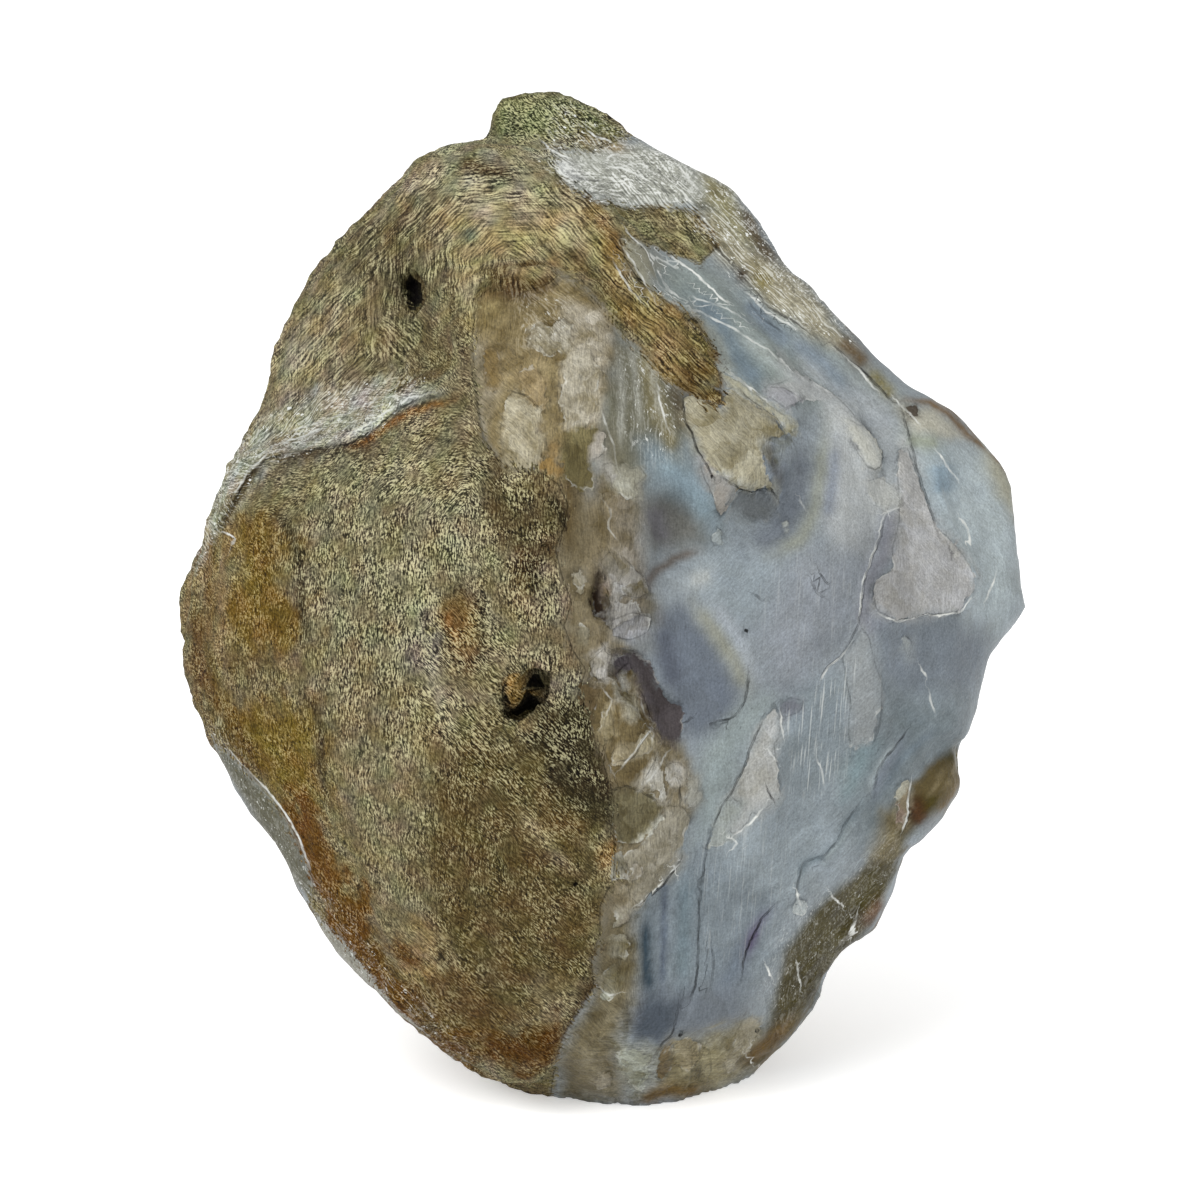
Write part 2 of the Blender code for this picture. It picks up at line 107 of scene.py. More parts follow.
# How the drawings wander, so that they have natural edges: how far apart, how wide, and the noise's seed
CARVED_WANDER = (2.0, 0.15, 30)
SHARP_WANDER = (1.2, 0.12, 54)
SOFT_WANDER = (2.5, 0.35, 50)
LOOSE_WANDERS = ((5.0, 2.0, 56), (1.8, 0.8, 58))
STEEP_WANDER = (5.0, 1.6, 8)
STEEP = (0.1, 0.5)  # how much a steep and a less steep place face the camera
BACK_WANDER = (11.0, 3.2, 6)

# Where the show side's drawings end, in depth
BREAK_DEPTH = -4.5
BREAK_WOBBLE = (7.0, 3.0, 12)
BREAK_BLEND = 1.5

REACH = 5.0  # how far from a patch or line the stone's points know of it
LINE_REACH = 1.0  # how far from a line it still counts
SHARP_TINT = 0.8  # a tint with a harder edge than this keeps to its outline
LINE_TAPER = 0.12  # the share of a line over which its ends die out
LINE_END = 0.35  # how strong its ends are
STROKE_TAPER = 0.2
STROKE_END = 0.3
BAND_REACH = 60.0

# The way that the grain runs, from the nearest lines of FLOW and, far from them, from all
FLOW_REACH = 4.0
FLOW_FAR = 0.002
FREE_GRAIN = (14.0, 40)  # on the far side
GRAIN_FOCUS = 1.5
GRAIN_STRAY = (0.05, 0.01)
WAYS = 4  # how many directions the strokes take

# Colours as they look in the studio, and then those of the shader, as shares of light
GLASS_COLOUR = (141, 149, 153)
RIND_COLOUR = (122, 112, 84)
BACK_RIND = ((124, 115, 90), (108, 90, 50), (142, 134, 108), (90, 80, 56))
BACK_RIND_CLOUDS = (11.0, 70)
BACK_GLASS = ((140, 150, 156), (118, 128, 140), (172, 174, 168))
BACK_GLASS_CLOUDS = (6.0, 60)
BACK_BORDER = (138, 128, 104)
BACK_BORDER_EDGE = (0.2, 3.0)
BACK_BORDER_SHARE = 0.7
SHADE_EDGE = (0.0, 0.45)  # between one drifting colour and the next, in the noise
GLASS_EDGE = (-0.2, 0.35)  # where the rind's colour gives way to the glass's
# White of the needles, seams and scratches, and also of the painted highlights on flake and chip edges and
# on some seams
WHITE_CRYSTAL = (0.56, 0.57, 0.54, 1.0)
PALE_GRAIN = (0.36, 0.345, 0.21, 1.0)
# The black of the painted shadow deep inside holes
HOLE_BLACK = (0.003, 0.002, 0.002, 1.0)

# Surface finish
SPECULAR = 0.1
RIND_ROUGHNESS = 0.85
GLASS_ROUGHNESS = 0.46
NEEDLE_GLOSS = 0.15
STROKE_SIZES = {"Strands": (1.9, 0.16), "Ticks": (0.45, 0.1)}  # their length and width
STROKES_APART = (7.0, 0.0, 3.0)  # between the noise of one way and the next
STROKE_BEND = 0.8

# The material's noise: how many hills to the millimetre, and how many finer layers
STROKE_NOISE = (1.0, 0.0)
WAVE_NOISE = (0.5, 1.0)
GRIT_NOISE = (5.0, 2.0)
WOBBLE_NOISE = (1.4, 3.0)
FADING_NOISE = (0.3, 0.0)
PATCHY_NOISE = (0.6, 1.0)
CLUMP_NOISE = (0.45, 2.0)
WARM_NOISE = (0.3, 2.0)
HUE_NOISE = (0.4, 1.0)
HAZE_NOISE = (0.3, 1.0)
BAND_NOISE = (0.9, 2.0)
CLOUD_NOISE = (0.5, 4.0)
SCRATCH_NOISE = (1.0, 1.0)
RELIEF_NOISE = (2.0, 2.0)

# The rind. Where two numbers follow low and high, they are the strengths or shades there.
STRAND_SHARE = (0.28, 1.0)  # on the least and the most stranded rind
TICK_SHARE = (0.8, 0.35)
GRIT_SHARE = (0.5, 0.75)
WARM_PLACES = (0.47, 0.6)
WARMTH = 0.6
WARM_STRENGTH = (0.0, 0.85, 1.0, 0.6)
CLUMP_STRENGTH = (0.4, 0.58, 0.25, 1.4)
CLUMP_SHADE = (0.3, 0.7, 0.82, 1.18)
RIND_HUES = ((0.4, 0.35, 0.55), (0.83, 0.86, 0.75))  # how far its colour drifts, and its least
OCHRE_CAST = (0.9, 0.81, 0.62)
MARK_CONTRAST = 2.2
LIGHT_MARKS = (0.02, 0.18)
DARK_MARKS = (-0.01, -0.16)
LIGHT_GAIN = 1.9
DARK_GAIN = 0.26
PALE_SHARE = 0.6

# The chalcedony and quartz
HAZE_SHADE = (0.3, 0.7, 0.92, 1.08)
STREAKS = (0.28, 0.3)  # the share of strands, and of ticks
CLOUD_STREAKS = 1.6
GLASS_GRIT = 0.7
BAND_BEND = 2.4
BAND_CONTRAST = 0.9
LAYER_BEND = 7.0
LAYERS_TO_MM = 0.3  # how many thin layers to the millimetre
LAYER_SHADE = (0.945, 1.055)
FACET_BEND = 3.0
FACETS_TO_MM = (1.2, 0.4)  # the fine ones and the coarse ones
FINE_FACETS = 0.6  # their share, next to the coarse ones
FACET_SHARE = 0.45
CLOUD_SHARE = 1.7
LEAST_CLOUD = 0.12
CLOUD_CAST = (0.9, 1.0, 1.3)
SCRATCH_TURN = math.radians(-4.0)
SCRATCH_SIZE = (0.16, 4.0, 4.0)
LIGHT_SCRATCH = (0.56, 0.72)
DARK_SCRATCH = (0.42, 0.3)
SCRATCH_SHARES = (0.4, 0.6)  # of the light ones and the dark ones
SCRATCH_SHADE = 0.7

# The needles of fresh crystal, with painted shadow in the gaps between them
HAIR_TICKS = 0.4
HAIRS = (0.05, 0.17)
HAIR_GAPS = (-0.08, -0.2)
GAP_SHARE = 0.75
GAP_SHADE = 0.3
FLECK_TICKS = 0.5
FLECKS = (0.19, 0.23)
FLECK_PLACES = (0.06, 0.16)

# Thin lines
LINE_WIDTH = 0.15
LINE_CORE = 0.25  # the share of its width that is at full strength
LINE_WOBBLE = 0.3
LINE_PATCHY = (-0.12, 0.1, 0.3, 1.05)
# How dark the dark lines are, both cracks and painted shadow along steps
CRACK_SHADE = 0.22

# The painted highlight just inside the edge of a flake or chip, and the painted shadow just outside it:
# where each starts and ends in depth, and where it shows
EDGES = {
    "Light edge": ((-0.04, 0.05), (0.28, 0.08), (0.0, 0.1)),
    "Dark edge": ((-0.5, -0.08), (0.06, -0.04), (0.02, -0.08))}
LIGHT_EDGE_SHARE = 0.27
DARK_EDGE_SHARE = 0.6
DARK_EDGE_SHADE = 0.45
FADING_PLACES = (0.43, 0.56)
TORN_BY_STRANDS = 2.2
# Painted shadow inside holes: the depths over which it turns from dark to black, and how dark it is at first
HOLE_DEPTHS = (0.1, 0.5)
HOLE_SHADE = 0.08
FLAKE_EDGE = {"Ragged": 0.9, "Soft": 0.05, "Fades": 1.2}
CHIP_EDGE = {"Ragged": 1.3, "Soft": 0.05, "Fades": 0.7}
BARE_EDGE = {"Ragged": 2.6, "Soft": 0.08, "Fades": 0.6}
HOLE_EDGE = {"Ragged": 0.25, "Soft": 0.05, "Fades": 0.0}

# The relief that is too fine for the mesh, in millimetres
RIND_RELIEF = 0.55
GLASS_RELIEF = 0.1
FLAKE_RELIEF = 0.12
CHIP_RELIEF = 0.1
CRACK_RELIEF = -0.12
STEP = (-0.1, 0.1)  # where a step starts and ends
CRACK_WALL = (0.14, 0.04)


def drawings(text):
    """Named outlines and lines: what is said of each, with a semicolon after it, and then its points."""
    drawn = {}
    for row in text.strip().replace("\n    ", " ").split("\n"):
        name, row = row.split(": ")
        *said, points = row.split("; ")
        said = [[float(word) for word in words.split()] for words in said]
        said = [words if len(words) > 1 else words[0] for words in said]
        points = [tuple(map(float, point.split(","))) for point in points.split()]
        drawn[name] = (*said, points) if said else points
    return drawn


# Soft tints of the chalcedony and quartz: a colour, how soft the edge is, and the outline. The right facet
# and the blue hollow are painted shade on faces turned from the light, and the grey-green hollow and the
# shadow of the ledge are painted shadow in a hollow and below a step.
GLASS_TINTS = drawings("""
upper channel: 136 145 140; 2.5; 5.5,33.8 10,33.8 16,30 23,25.5 28,20.5 30,19.5 29,13 25,18 20,20 14,20.5
    11.5,25 10,27.5 6,30
lavender band: 162 168 171; 1.5; 20,25.5 24,22.5 28,20.5 30,19 31.2,15 33,10 30,9.5 28.5,13 26,17 23,20.5
    20,22.5
plateau: 174 178 178; 1.2; 22.6,19.8 24.6,19.5 26.2,16.8 27.2,13.2 28.8,12.2 29.6,10 28.4,9 27.6,6.5 26.6,4
    23.5,5 22.2,8 22.4,15
lower plateau: 141 147 153; 3; 14.5,3 20,5.5 26.6,4.5 26,-2 24,-5.5 20.5,-8.8 17.5,-10 16,-5 14,0
middle blue: 142 152 157; 2.5; 9,4 14,6.5 19,4.5 16,-2 13,-4 10,0
blue hollow: 106 114 124; 1.6; 5.2,-1.2 9,0 11.8,-3.6 14.2,-8.6 13.6,-11.2 10,-14.2 8.2,-13.5 6.8,-9.5
    5.2,-5.5
grey strip: 148 159 159; 1.5; 16.5,-9 17.8,-10.2 14.8,-13.5 12.8,-19 10.8,-24.5 9.2,-25 10,-19 10.4,-14.5
    13.8,-11.2
scratched flank: 132 142 147; 1.6; 18.2,-10 22.2,-7.6 26,-5.5 25,-10 25,-15.5 23,-20 17.8,-20.5 18,-13.5
flank foot: 143 153 158; 3; 10,-25 18,-20 25,-19 24,-25 19,-30 12,-34 10,-32
shadow of the ledge: 127 129 136; 1; 30,9.2 29.8,6.5 29,4 27.2,1 27.6,-1.5 29,-2.5 27,-4 25.8,-2.5 26.2,2
    27.4,5 28.4,8.8
right facet: 119 127 134; 1.8; 27.8,-2.2 33,-1.6 36.2,-1.2 41.8,-1 40,-5 37.5,-9 33,-10 28.5,-9 27.2,-5
teal foot: 112 122 126; 2.5; 28.5,-9 36.5,-10 36.5,-16 31.5,-17.5 29,-23 26,-25 25,-20 27,-14.5
far right blue: 167 177 179; 2.5; 30.5,17 37,16 41.8,11 42,0 40,-4 36.8,-1.2 37.2,2 34.5,6.5 32.5,11
far right pale: 171 169 155; 0.9; 29.8,19.5 33.6,19.3 35.2,17.8 36.8,16 34,16.2 31,16.8
edge of the far right: 158 157 140; 1.2; 38,15.5 40,14.5 41.8,11.8 41.6,8 40,10 38.5,13
lower blue: 127 137 143; 2; 4,-30.5 8.2,-26.2 10,-25 18,-30 17.5,-36 15,-40 10,-43 5.5,-45 3.6,-40
foot of the blue: 112 119 126; 2; 3.6,-39 10,-38.5 14.5,-37.5 14.5,-42.5 10,-44 6,-45 4,-44
dark blue foot: 74 82 91; 1; 3.6,-40 7.8,-40 7.4,-43.2 6,-44.4 4,-44 2.5,-42
beige foot: 134 126 96; 1.5; 7.2,-44.2 10,-44 14.5,-42.2 16.2,-43 15.8,-46.5 12,-49.5 9,-50 5.5,-49 6.2,-46
pale green foot: 146 146 130; 1.4; 1.5,-44 5.5,-45 5.5,-47.5 4,-49.5 2.2,-48.5
glassy foot: 113 104 79; 1.5; 0,-30.5 3.2,-30 4,-35 3.6,-40 1.5,-44.5 2.5,-50 -4,-50 -4,-45 -1.2,-40
lower right rind rim: 64 56 4; 0.7; 31.2,-19 36,-14 36.2,-19 30.5,-23.5 30,-27 26,-34 22,-38 20,-44
    15.5,-46.6 17.2,-41 18.5,-35 21.5,-31 26,-27 28.5,-24
pale wedge of the rim: 146 148 134; 0.7; 31.2,-18.5 31.1,-20.5 30.5,-23 29.6,-23.5 29,-22 30,-19
glass beside the arch: 108 106 88; 1.5; 1.2,27 4,25.5 6.2,22.2 9,20.2 9,16 10,13.5 5,13 4,8 1,10 0,16 0.2,21
teal slope: 128 140 145; 1.8; 4,16 9,16 11.2,12 12,8 11.5,5.5 9,5.5 4,10
grey-green hollow: 110 110 104; 1.5; 4,10 6,10.5 10,9 10.5,6 8,5 5,5.5
green-grey glass: 142 140 122; 1; 1,37.4 2.8,37.2 4.5,35.5 6,33.8 5.2,32.2 5.5,30 3.2,31.6 1.8,33.8
beige streaks: 152 146 122; 1.2; 10,39 12.2,38.5 14.5,36 16.2,33.8 14,33 12.2,33.8 10.8,36
beige corner: 154 148 110; 1.5; 9.8,42.8 11.4,42.8 13,41.2 14.8,38 16,35 14.2,35.8 11.8,38.4 10.2,40
frost: 176 178 167; 0.8; -5.5,45 -2.5,45 0,45.2 1.8,44.7 4,45.8 6.4,45 9.2,43.2 10.6,41.2 9.8,39.8 6.5,39.3
    3,39.3 0.2,39.8 -2.5,41.2 -4.2,42 -5,43.4
streaky cream rim: 167 161 137; 1.2; 14,34.5 16.5,34.5 20,32 22.6,29 24.2,26.4 25.8,24.4 23,25.5 20,27.5
    17,29.2 14.8,31.8
chip bank: 122 114 98; 1.5; -0.4,12 4,12 4.2,6 5,1 6,-2 4,-4 1.2,-5 -0.4,-4 0.2,4
upper grey shelf: 120 124 124; 1.2; 1.2,-1.8 5.5,-1.5 6,-5 4,-5.5 1.5,-5
left sliver: 88 86 66; 0.8; -39.5,-13 -37.2,-15 -35.4,-17 -33.8,-18.6 -32.4,-20.2 -31.2,-22.2 -30,-24.2
    -29.2,-26.2 -28.6,-28.5 -29.2,-30.5 -31,-28 -35,-22
low slivers: 138 136 122; 0.8; -29,-30 -25.5,-34 -20,-41 -13,-47.8 -16,-47.8 -22,-42 -28,-35
window: 122 108 74; 0.9; -12.6,30 -11,31.2 -8,30.6 -5.2,31.6 -3.8,32.8 -1.4,31.2 0.4,29.8 1.8,28.2 1,26.4
    1.6,24.8 0.4,22.8 0.8,21.2 -0.2,19.8 0,17 -1.2,14.4 -1.6,12.8 -3,12.1 -4.8,12.2 -6,13 -8,13.2 -9.6,13
    -10.6,14.5 -11.7,16 -12.2,19 -12.6,22 -12.8,26
shade at the window top: 98 80 48; 0.9; -11.8,33 -10,33.8 -8,34.4 -5.2,34.2 -4.4,32.8 -4.8,30.8 -7,30.2
    -9.2,30 -11.2,28.2 -12.4,28.8
olive of the window: 126 112 74; 0.8; -12.2,30 -10,30.2 -9.4,28.8 -11.4,27 -12.2,27.4
cream of the window: 164 156 136; 0.8; -3.8,30 0,29 1,26.5 0.4,22.8 -0.2,18 -2.5,17.2 -3.8,20 -3.4,25
pale middle of the window: 136 121 86; 0.9; -9.5,24.5 -5.5,25 -5.5,20.5 -8,20.8 -10,22
grey left of the window: 142 132 108; 0.9; -12.2,26 -10.2,25 -10,21 -11.6,17 -12.4,20
bank ground: 120 110 86; 0.9; -1.2,-4 2.5,-4 5.5,-10 9,-16 10,-20 6.8,-25 4,-30.5 1.2,-31.5 -0.4,-28 0,-16
    -1,-10
head of the rim lump: 90 78 46; 0.5; 31,-18.4 32,-17.8 32.6,-16.8 33.4,-16 34.4,-15.7 35.2,-16.4 36.4,-15
    36.4,-17.5 35,-20 33,-19.5 31.6,-20
dark heart of the rim lump: 58 42 18; 0.7; 30.8,-20 31.8,-19.4 32.6,-20.2 32.2,-21.8 30.6,-23.2
tan edge of the rim: 122 112 82; 1.2; 28.2,-21.2 29.6,-20.6 30.4,-22.6 30,-24.6 28.6,-26 27,-25.8 28,-23.8
teal slope of the foot: 122 140 144; 1.4; 25.8,-14.2 27.6,-14.4 26.8,-16.6 25.2,-19.2 24.2,-20 24.6,-17
soft bank in the glass: 126 117 96; 0.8; -1.6,10 0.4,10 0.6,4 0,0 -0.4,-4 0.4,-8 -1,-9 -2,0
dark by the pale crystal: 78 66 44; 0.8; -2.4,-8.4 -0.8,-8.4 0.4,-9 -0.6,-10.4 -1.2,-12 -2.2,-10.4
smooth bank: 110 100 76; 1.2; -5.5,16 -2.5,14.8 -1,12 -0.6,4 -0.6,-4 -1.4,-8.4 -3.4,-9 -4.4,0 -5.2,8
dark of the smooth bank: 88 72 38; 1.2; -3.8,13 -2.6,12 -2.4,8 -3,5.2 -3.8,7
pink of the bank: 128 116 102; 1; 0.6,-9 2.2,-7.6 3.6,-9 4.4,-11.6 4,-14 2,-15 0.4,-12.6
""")

# Strokes of colour on them: a colour, half the width, and the line. The soft dark line, the lilac shadow,
# the shadow left of the flake and the shadow right of the beige flake are painted shadow in hollows and
# beside steps.
GLASS_STROKES = drawings("""
deep blue streak: 117 132 141; 1.3; 9,30.8 11.8,27.8 14.2,23.8 16.5,20.8
pale streak: 158 166 162; 0.7; 13.8,27 16.2,25 18.5,23.2 20.2,21.4
second blue streak: 124 137 147; 1; 14.2,30.2 16.8,27.5 19.2,25.2
third blue streak: 134 146 155; 0.8; 19,26 22,24 25,20.8
ochre edge: 128 118 92; 0.6; 9,29 10.5,26.5 11.6,23.8 12.2,20.5
pale line by the arch: 150 156 150; 0.6; 12.8,22 12.2,25 10.5,27.8
scoop band: 120 127 135; 1.3; 20.2,16.2 20,12.2 19.2,8.8 17.5,6.4 14.5,5.5
scoop band inner: 114 121 128; 0.6; 18.3,15 18.6,11 18.2,8.5 17,7.2
teal band: 132 150 158; 1.2; 5.5,14.5 9,11.2 11.4,7.8
tan outer band: 145 149 139; 0.8; 22.6,17.5 22.2,13 21.6,9.2 20.2,6.2 17,4.4
lavender inside the tan: 140 147 156; 0.7; 23.6,16 23.2,11 22.6,8
lilac shadow: 112 111 114; 1; 5.5,9.5 5.8,7.5 6.4,5.8
pale smear: 166 171 170; 0.9; 9,1.5 11,2.8
tan band: 148 150 138; 0.9; 9.2,-0.2 11.6,-3.2 13.6,-6.2 14.8,-9.2
light edge of the tan: 158 165 170; 0.7; 11.2,-0.2 14,-4 15.6,-8
deepest blue: 86 92 102; 1.1; 6.2,-2.5 6.8,-5.5 7.6,-9
soft dark line: 104 98 92; 0.5; 4,0.8 5.5,2.8 7.6,4.2 10.2,5
foot stripe dark: 93 103 116; 0.35; 6.4,-27.2 6.4,-34 6.2,-39
foot stripe light: 116 131 138; 0.8; 8.6,-27.2 8.4,-33 8.2,-38.5
foot stripe second: 44 60 70; 0.7; 4.6,-31.5 4.6,-36 5,-39.5
purple crack side: 104 106 120; 0.6; 17.2,-30.8 15.6,-32.5 14.8,-34.5 14.2,-36.8
dull blue: 112 122 132; 0.8; 12.4,-38.5 13.5,-36.8 14.2,-34
teal band line: 108 120 128; 0.45; 33.5,-13 30,-16 28,-19.5
teal band second: 112 124 130; 0.4; 26.6,-20 24.8,-22.2 23.8,-24.5 22,-25.8 20.2,-26.4 19.7,-29
dim bank: 118 127 136; 0.6; 30.5,-13.5 28.2,-17.2 27.2,-20
rust at the foot: 92 70 24; 0.8; 3.6,-50.4 5.2,-49.6 6.8,-49 9,-49.2 10.4,-48.6
dark rim of the foot: 98 84 50; 0.8; 14.5,-46.5 17.5,-44.5 20,-41.5
rust at the lower right: 92 62 26; 0.7; 26.2,-32.5 27.5,-31.2 28.2,-30
brown of the rim lump: 78 50 22; 0.8; 31.2,-20 31.8,-21.5 32.5,-22.2
brown over the rim lump: 104 88 56; 0.6; 33.5,-21.5 35.5,-19.5 36.2,-17.5
red-brown edge: 112 92 66; 0.35; 29.3,20.2 33,19.8 35,18.5 36.8,16.4 38.5,15.4 40.4,13.6 41.8,11.4
brown beside the rim: 96 80 56; 0.9; 23.8,26.2 25.2,25 26.8,23.2
olive edge: 124 117 80; 0.7; 27,23 28,21.8 29.4,20.2
dark spot of the rim: 72 58 42; 0.7; 13.8,32.8 14.8,32.2
olive spot of the rim: 138 128 84; 0.9; 15.8,32.8 16.8,31.2
green tint: 148 154 138; 0.8; 30.5,16 34,15.6
light blue pool: 132 150 161; 1.4; 34,13.8 34.5,10.5
dark edge of the crown: 92 80 58; 0.7; 14.2,39.5 15.2,37.2 16.4,35 17.8,33.8
ochre over the frost: 150 134 100; 0.7; -2,45.8 0.5,45.7 2.8,45
olive in the glass: 134 126 92; 0.9; 4.5,25 5.2,21.5 5.8,18
shadow left of the flake: 92 84 66; 0.8; 7.2,21.5 7.8,19.5 8.6,17
bank by the rind: 116 105 80; 1.5; 0.6,16 0.4,10 0,4 -0.3,-1 -0.4,-5 0.2,-12 1,-19 1.2,-25 0.4,-30 0,-36
olive by the arch: 118 110 78; 0.8; 5,22 6.2,18 7.6,14.4
pale streaks by the arch: 158 158 146; 0.35; 3,25.5 3.6,22 4,17
second pale streak by the arch: 160 158 142; 0.35; 4.8,24.8 5.6,21 6.4,17
third pale streak by the arch: 150 150 138; 0.4; 1.8,25 2.2,20 2,15
light streak of the lump: 124 112 82; 0.2; 32.8,-20 33.6,-18.4 34.6,-16.6
second light streak of the lump: 118 106 76; 0.2; 34.4,-19 35.4,-17.2 36,-15.6
light line by the teal band: 148 158 160; 0.3; 29.8,-13.8 28.4,-15.8 27.2,-17.8 26.8,-19.4
second light line by the band: 146 156 158; 0.3; 25.2,-22.2 24.2,-24 23.2,-25.2 22.2,-26.6
purple of the crack: 88 82 106; 0.5; 15.7,-32.8 15.2,-34 14.7,-35.2
foot facet: 150 146 126; 0.5; 10.6,-44.4 11.8,-43.6 12.4,-45.2
second foot facet: 148 144 122; 0.5; 14.2,-43.6 15.4,-42.8 16,-44
dark foot facet: 96 88 62; 0.5; 12.8,-44 13.4,-45.6 14.4,-46.4
second dark foot facet: 100 92 66; 0.5; 9,-45.2 9.6,-46.8 10.4,-48.4
shadow right of the beige flake: 98 100 102; 0.5; 16.8,16 17,14.4 17.6,13 18.2,11.6
ochre rim of the foot: 96 72 20; 0.7; 14.2,-46.4 16,-44.8 17.6,-43.6 19,-42.2
""")

# Soft tints and strokes of the rind. The dark edge of the lip is painted shadow along the lip's step.
RIND_TINTS = drawings("""
crown: 146 143 119; 2.5; -11,47 -4,47 2,46 0,41 -6,41 -13,41 -20,38 -17,44
knob: 120 122 84; 0.8; -11,46.6 -11,48.4 -9.2,50.4 -7,51.2 -3,50.6 0.5,48.8 2.2,46.6 -1,46.2 -6,46.2
dome: 159 147 111; 3; -17,40 -12,41.5 -6,40.5 -2,38 1,33 -4,33 -8,33.8 -11,32 -12,27 -14,24 -16,30
left of the dome: 110 101 72; 3; -30,31 -25,37.5 -20,41.5 -17,41 -16,30 -13.5,21 -17,21 -22,22 -30,20 -34,18
arch strip: 134 114 70; 1; -1.5,38.5 0.2,38.8 2,35.5 4,31.8 6,30 8.8,28 10.4,26.2 11.6,23.8 12.4,19.8
    11.6,18.8 9,20.2 6.2,22.4 4.2,25.2 2.2,27.8 0,31
arch foot: 100 80 38; 1.2; 9,25.5 10.6,25.5 11.6,23.5 12.4,19.8 11.6,18.8 10,19.8 8,21.5
olive shade: 108 95 60; 1; -12.2,33.2 -10,33.8 -9.8,31.5 -11.2,28.8 -12.2,28.8
shield middle: 120 114 88; 3; -30,13 -20,16 -12,15 -12,-2 -20,-5 -30,0
light patch of the shield: 134 128 100; 2; -22,2.5 -17,3.5 -15,0 -17,-5 -21,-5
dark corner of the shield: 88 76 48; 1.2; -12,13.5 -5.5,11 -3.5,10 -3.5,6 -7,4 -10,5.5 -12,10
brown corner: 86 68 38; 1; -9,5.2 -6,5.2 -5.5,2.5 -7.5,0.5 -9.2,1.5
ochre flank: 114 90 30; 1.8; -38.8,6 -36.8,8.4 -33.8,8.8 -31.4,7 -30.2,4 -30.8,1 -29.8,-2.5 -31,-5.5
    -33.8,-4 -36,-5.5 -39.5,-4 -41,-1
dark flank: 104 88 54; 1.4; -39.6,-4.8 -36.4,-5 -33.8,-6.4 -30.8,-9 -30.2,-10.4 -33.2,-9.6 -36.8,-7.6
low ochre flank: 116 95 34; 1.8; -40.4,-5 -38.5,-8 -35,-10 -31.8,-10.2 -29.4,-9.6 -27.4,-14 -26.2,-19
    -24.8,-25 -23.4,-29 -26,-28 -30,-23.8 -32.4,-20 -36,-16 -38.8,-11
light shield: 124 114 86; 3; -27,-10 -18,-9 -15,-16 -20,-30 -26,-28 -27.5,-18
purple-brown shield: 92 78 44; 2.5; -16,-14 -6,-12 0,-18 0.5,-30 -1,-38 -10,-41 -17,-34 -18,-24
peach patch: 118 94 56; 0.8; -16,0 -14.2,1 -12.2,-0.5 -11.8,-5 -13,-6.8 -15,-5 -16.2,-3
lilac patch: 112 102 92; 1; -18.5,-1.8 -16.2,-2.2 -16,-6.2 -18,-5.8
rust foot: 84 54 0; 1; -12,-44.5 -8,-42.2 -4,-42.2 -4,-45.8 -8,-46.8 -12,-46.2
rust edge: 102 68 8; 0.9; -31.5,-18 -28.4,-20 -26,-25 -23.2,-32 -18,-37.5 -12,-42 -10,-44.5 -13,-46.2
    -17.5,-44 -24,-38 -29,-30 -31.5,-23
brown foot: 96 76 42; 1.5; -20,-36 -12,-38 -8,-41 -12,-45 -18,-42
grey bank: 120 111 90; 1.2; -5.5,4 -2.5,4 0,-4 0.6,-10 -1,-14 -4,-10 -6,-4
orange corner: 128 98 56; 0.6; -0.4,-24.5 1.8,-23.8 2.2,-25.6 0,-27
tan chip: 146 128 88; 0.6; -18.8,-31.5 -17,-32.5 -16.4,-35 -18.5,-35.5
lip band: 166 166 150; 1; -30,20 -26,21.5 -21.5,21.2 -17.8,22.2 -17,21.4 -19.5,19.8 -21.5,18 -23.8,16.4
    -26.2,15.9 -30,15.2 -33.2,14.8 -35,13 -36.5,10.8 -38.2,8 -39.5,5 -40.4,3 -41.2,4 -39.5,10 -37.5,15
    -34,17.5
lower tan chip: 142 122 82; 0.5; -20.2,-36.2 -17,-37.2 -17.5,-38.2 -20,-37.8
ochre grain: 156 126 66; 0.12; -9.2,-7.5 -8,-7.2 -7.8,-9 -7,-9 -7.5,-10.5 -8.5,-11.2 -9.3,-10.5 -9.5,-9
olive streaks: 130 122 88; 0.7; -0.4,39.7 2.5,39 6.5,39.2 9.2,38.8 10.6,37.2 11.6,35.4 10,33.6 8,34.4 5,35.6
    2,36.8
dark under the vug: 56 48 26; 1.4; -6.4,-11.6 -4,-10 -1,-10 1.2,-16 1.6,-21 -1,-21.5 -4,-20 -6,-16
shade above the window: 92 74 42; 0.9; -10.2,33.4 -8,34.4 -5.2,34.2 -4.4,32.8 -4.8,30.4 -7,29.8 -9.5,29.8
    -11.4,28.6 -12,30 -11.6,32
pale left shoulder: 138 126 98; 2.5; -30,31 -26,34 -23,30 -24,24 -30,21 -33,20
soft bank: 122 112 88; 1; -4.4,4 -1,6 0,2 0,-4 -0.8,-8 -2,-6 -3.4,-1
edge of the low ochre flank: 90 62 2; 1.8; -40.8,-6 -38.6,-8.4 -36.4,-10.6 -34.8,-14 -33.8,-17.6 -35.6,-16.4
    -38.6,-12 -40.4,-9
light of the brown foot: 138 120 88; 1.4; -20.2,-32.5 -18,-33.2 -16.4,-35.2 -17.2,-37 -19.6,-35.6
light edge of the ochre flank: 134 118 84; 1.4; -39.6,5.2 -37.4,6.6 -36.2,5.2 -37,2 -37.8,-1 -37.6,-4
    -39.4,-4.4 -40.8,-1
""")
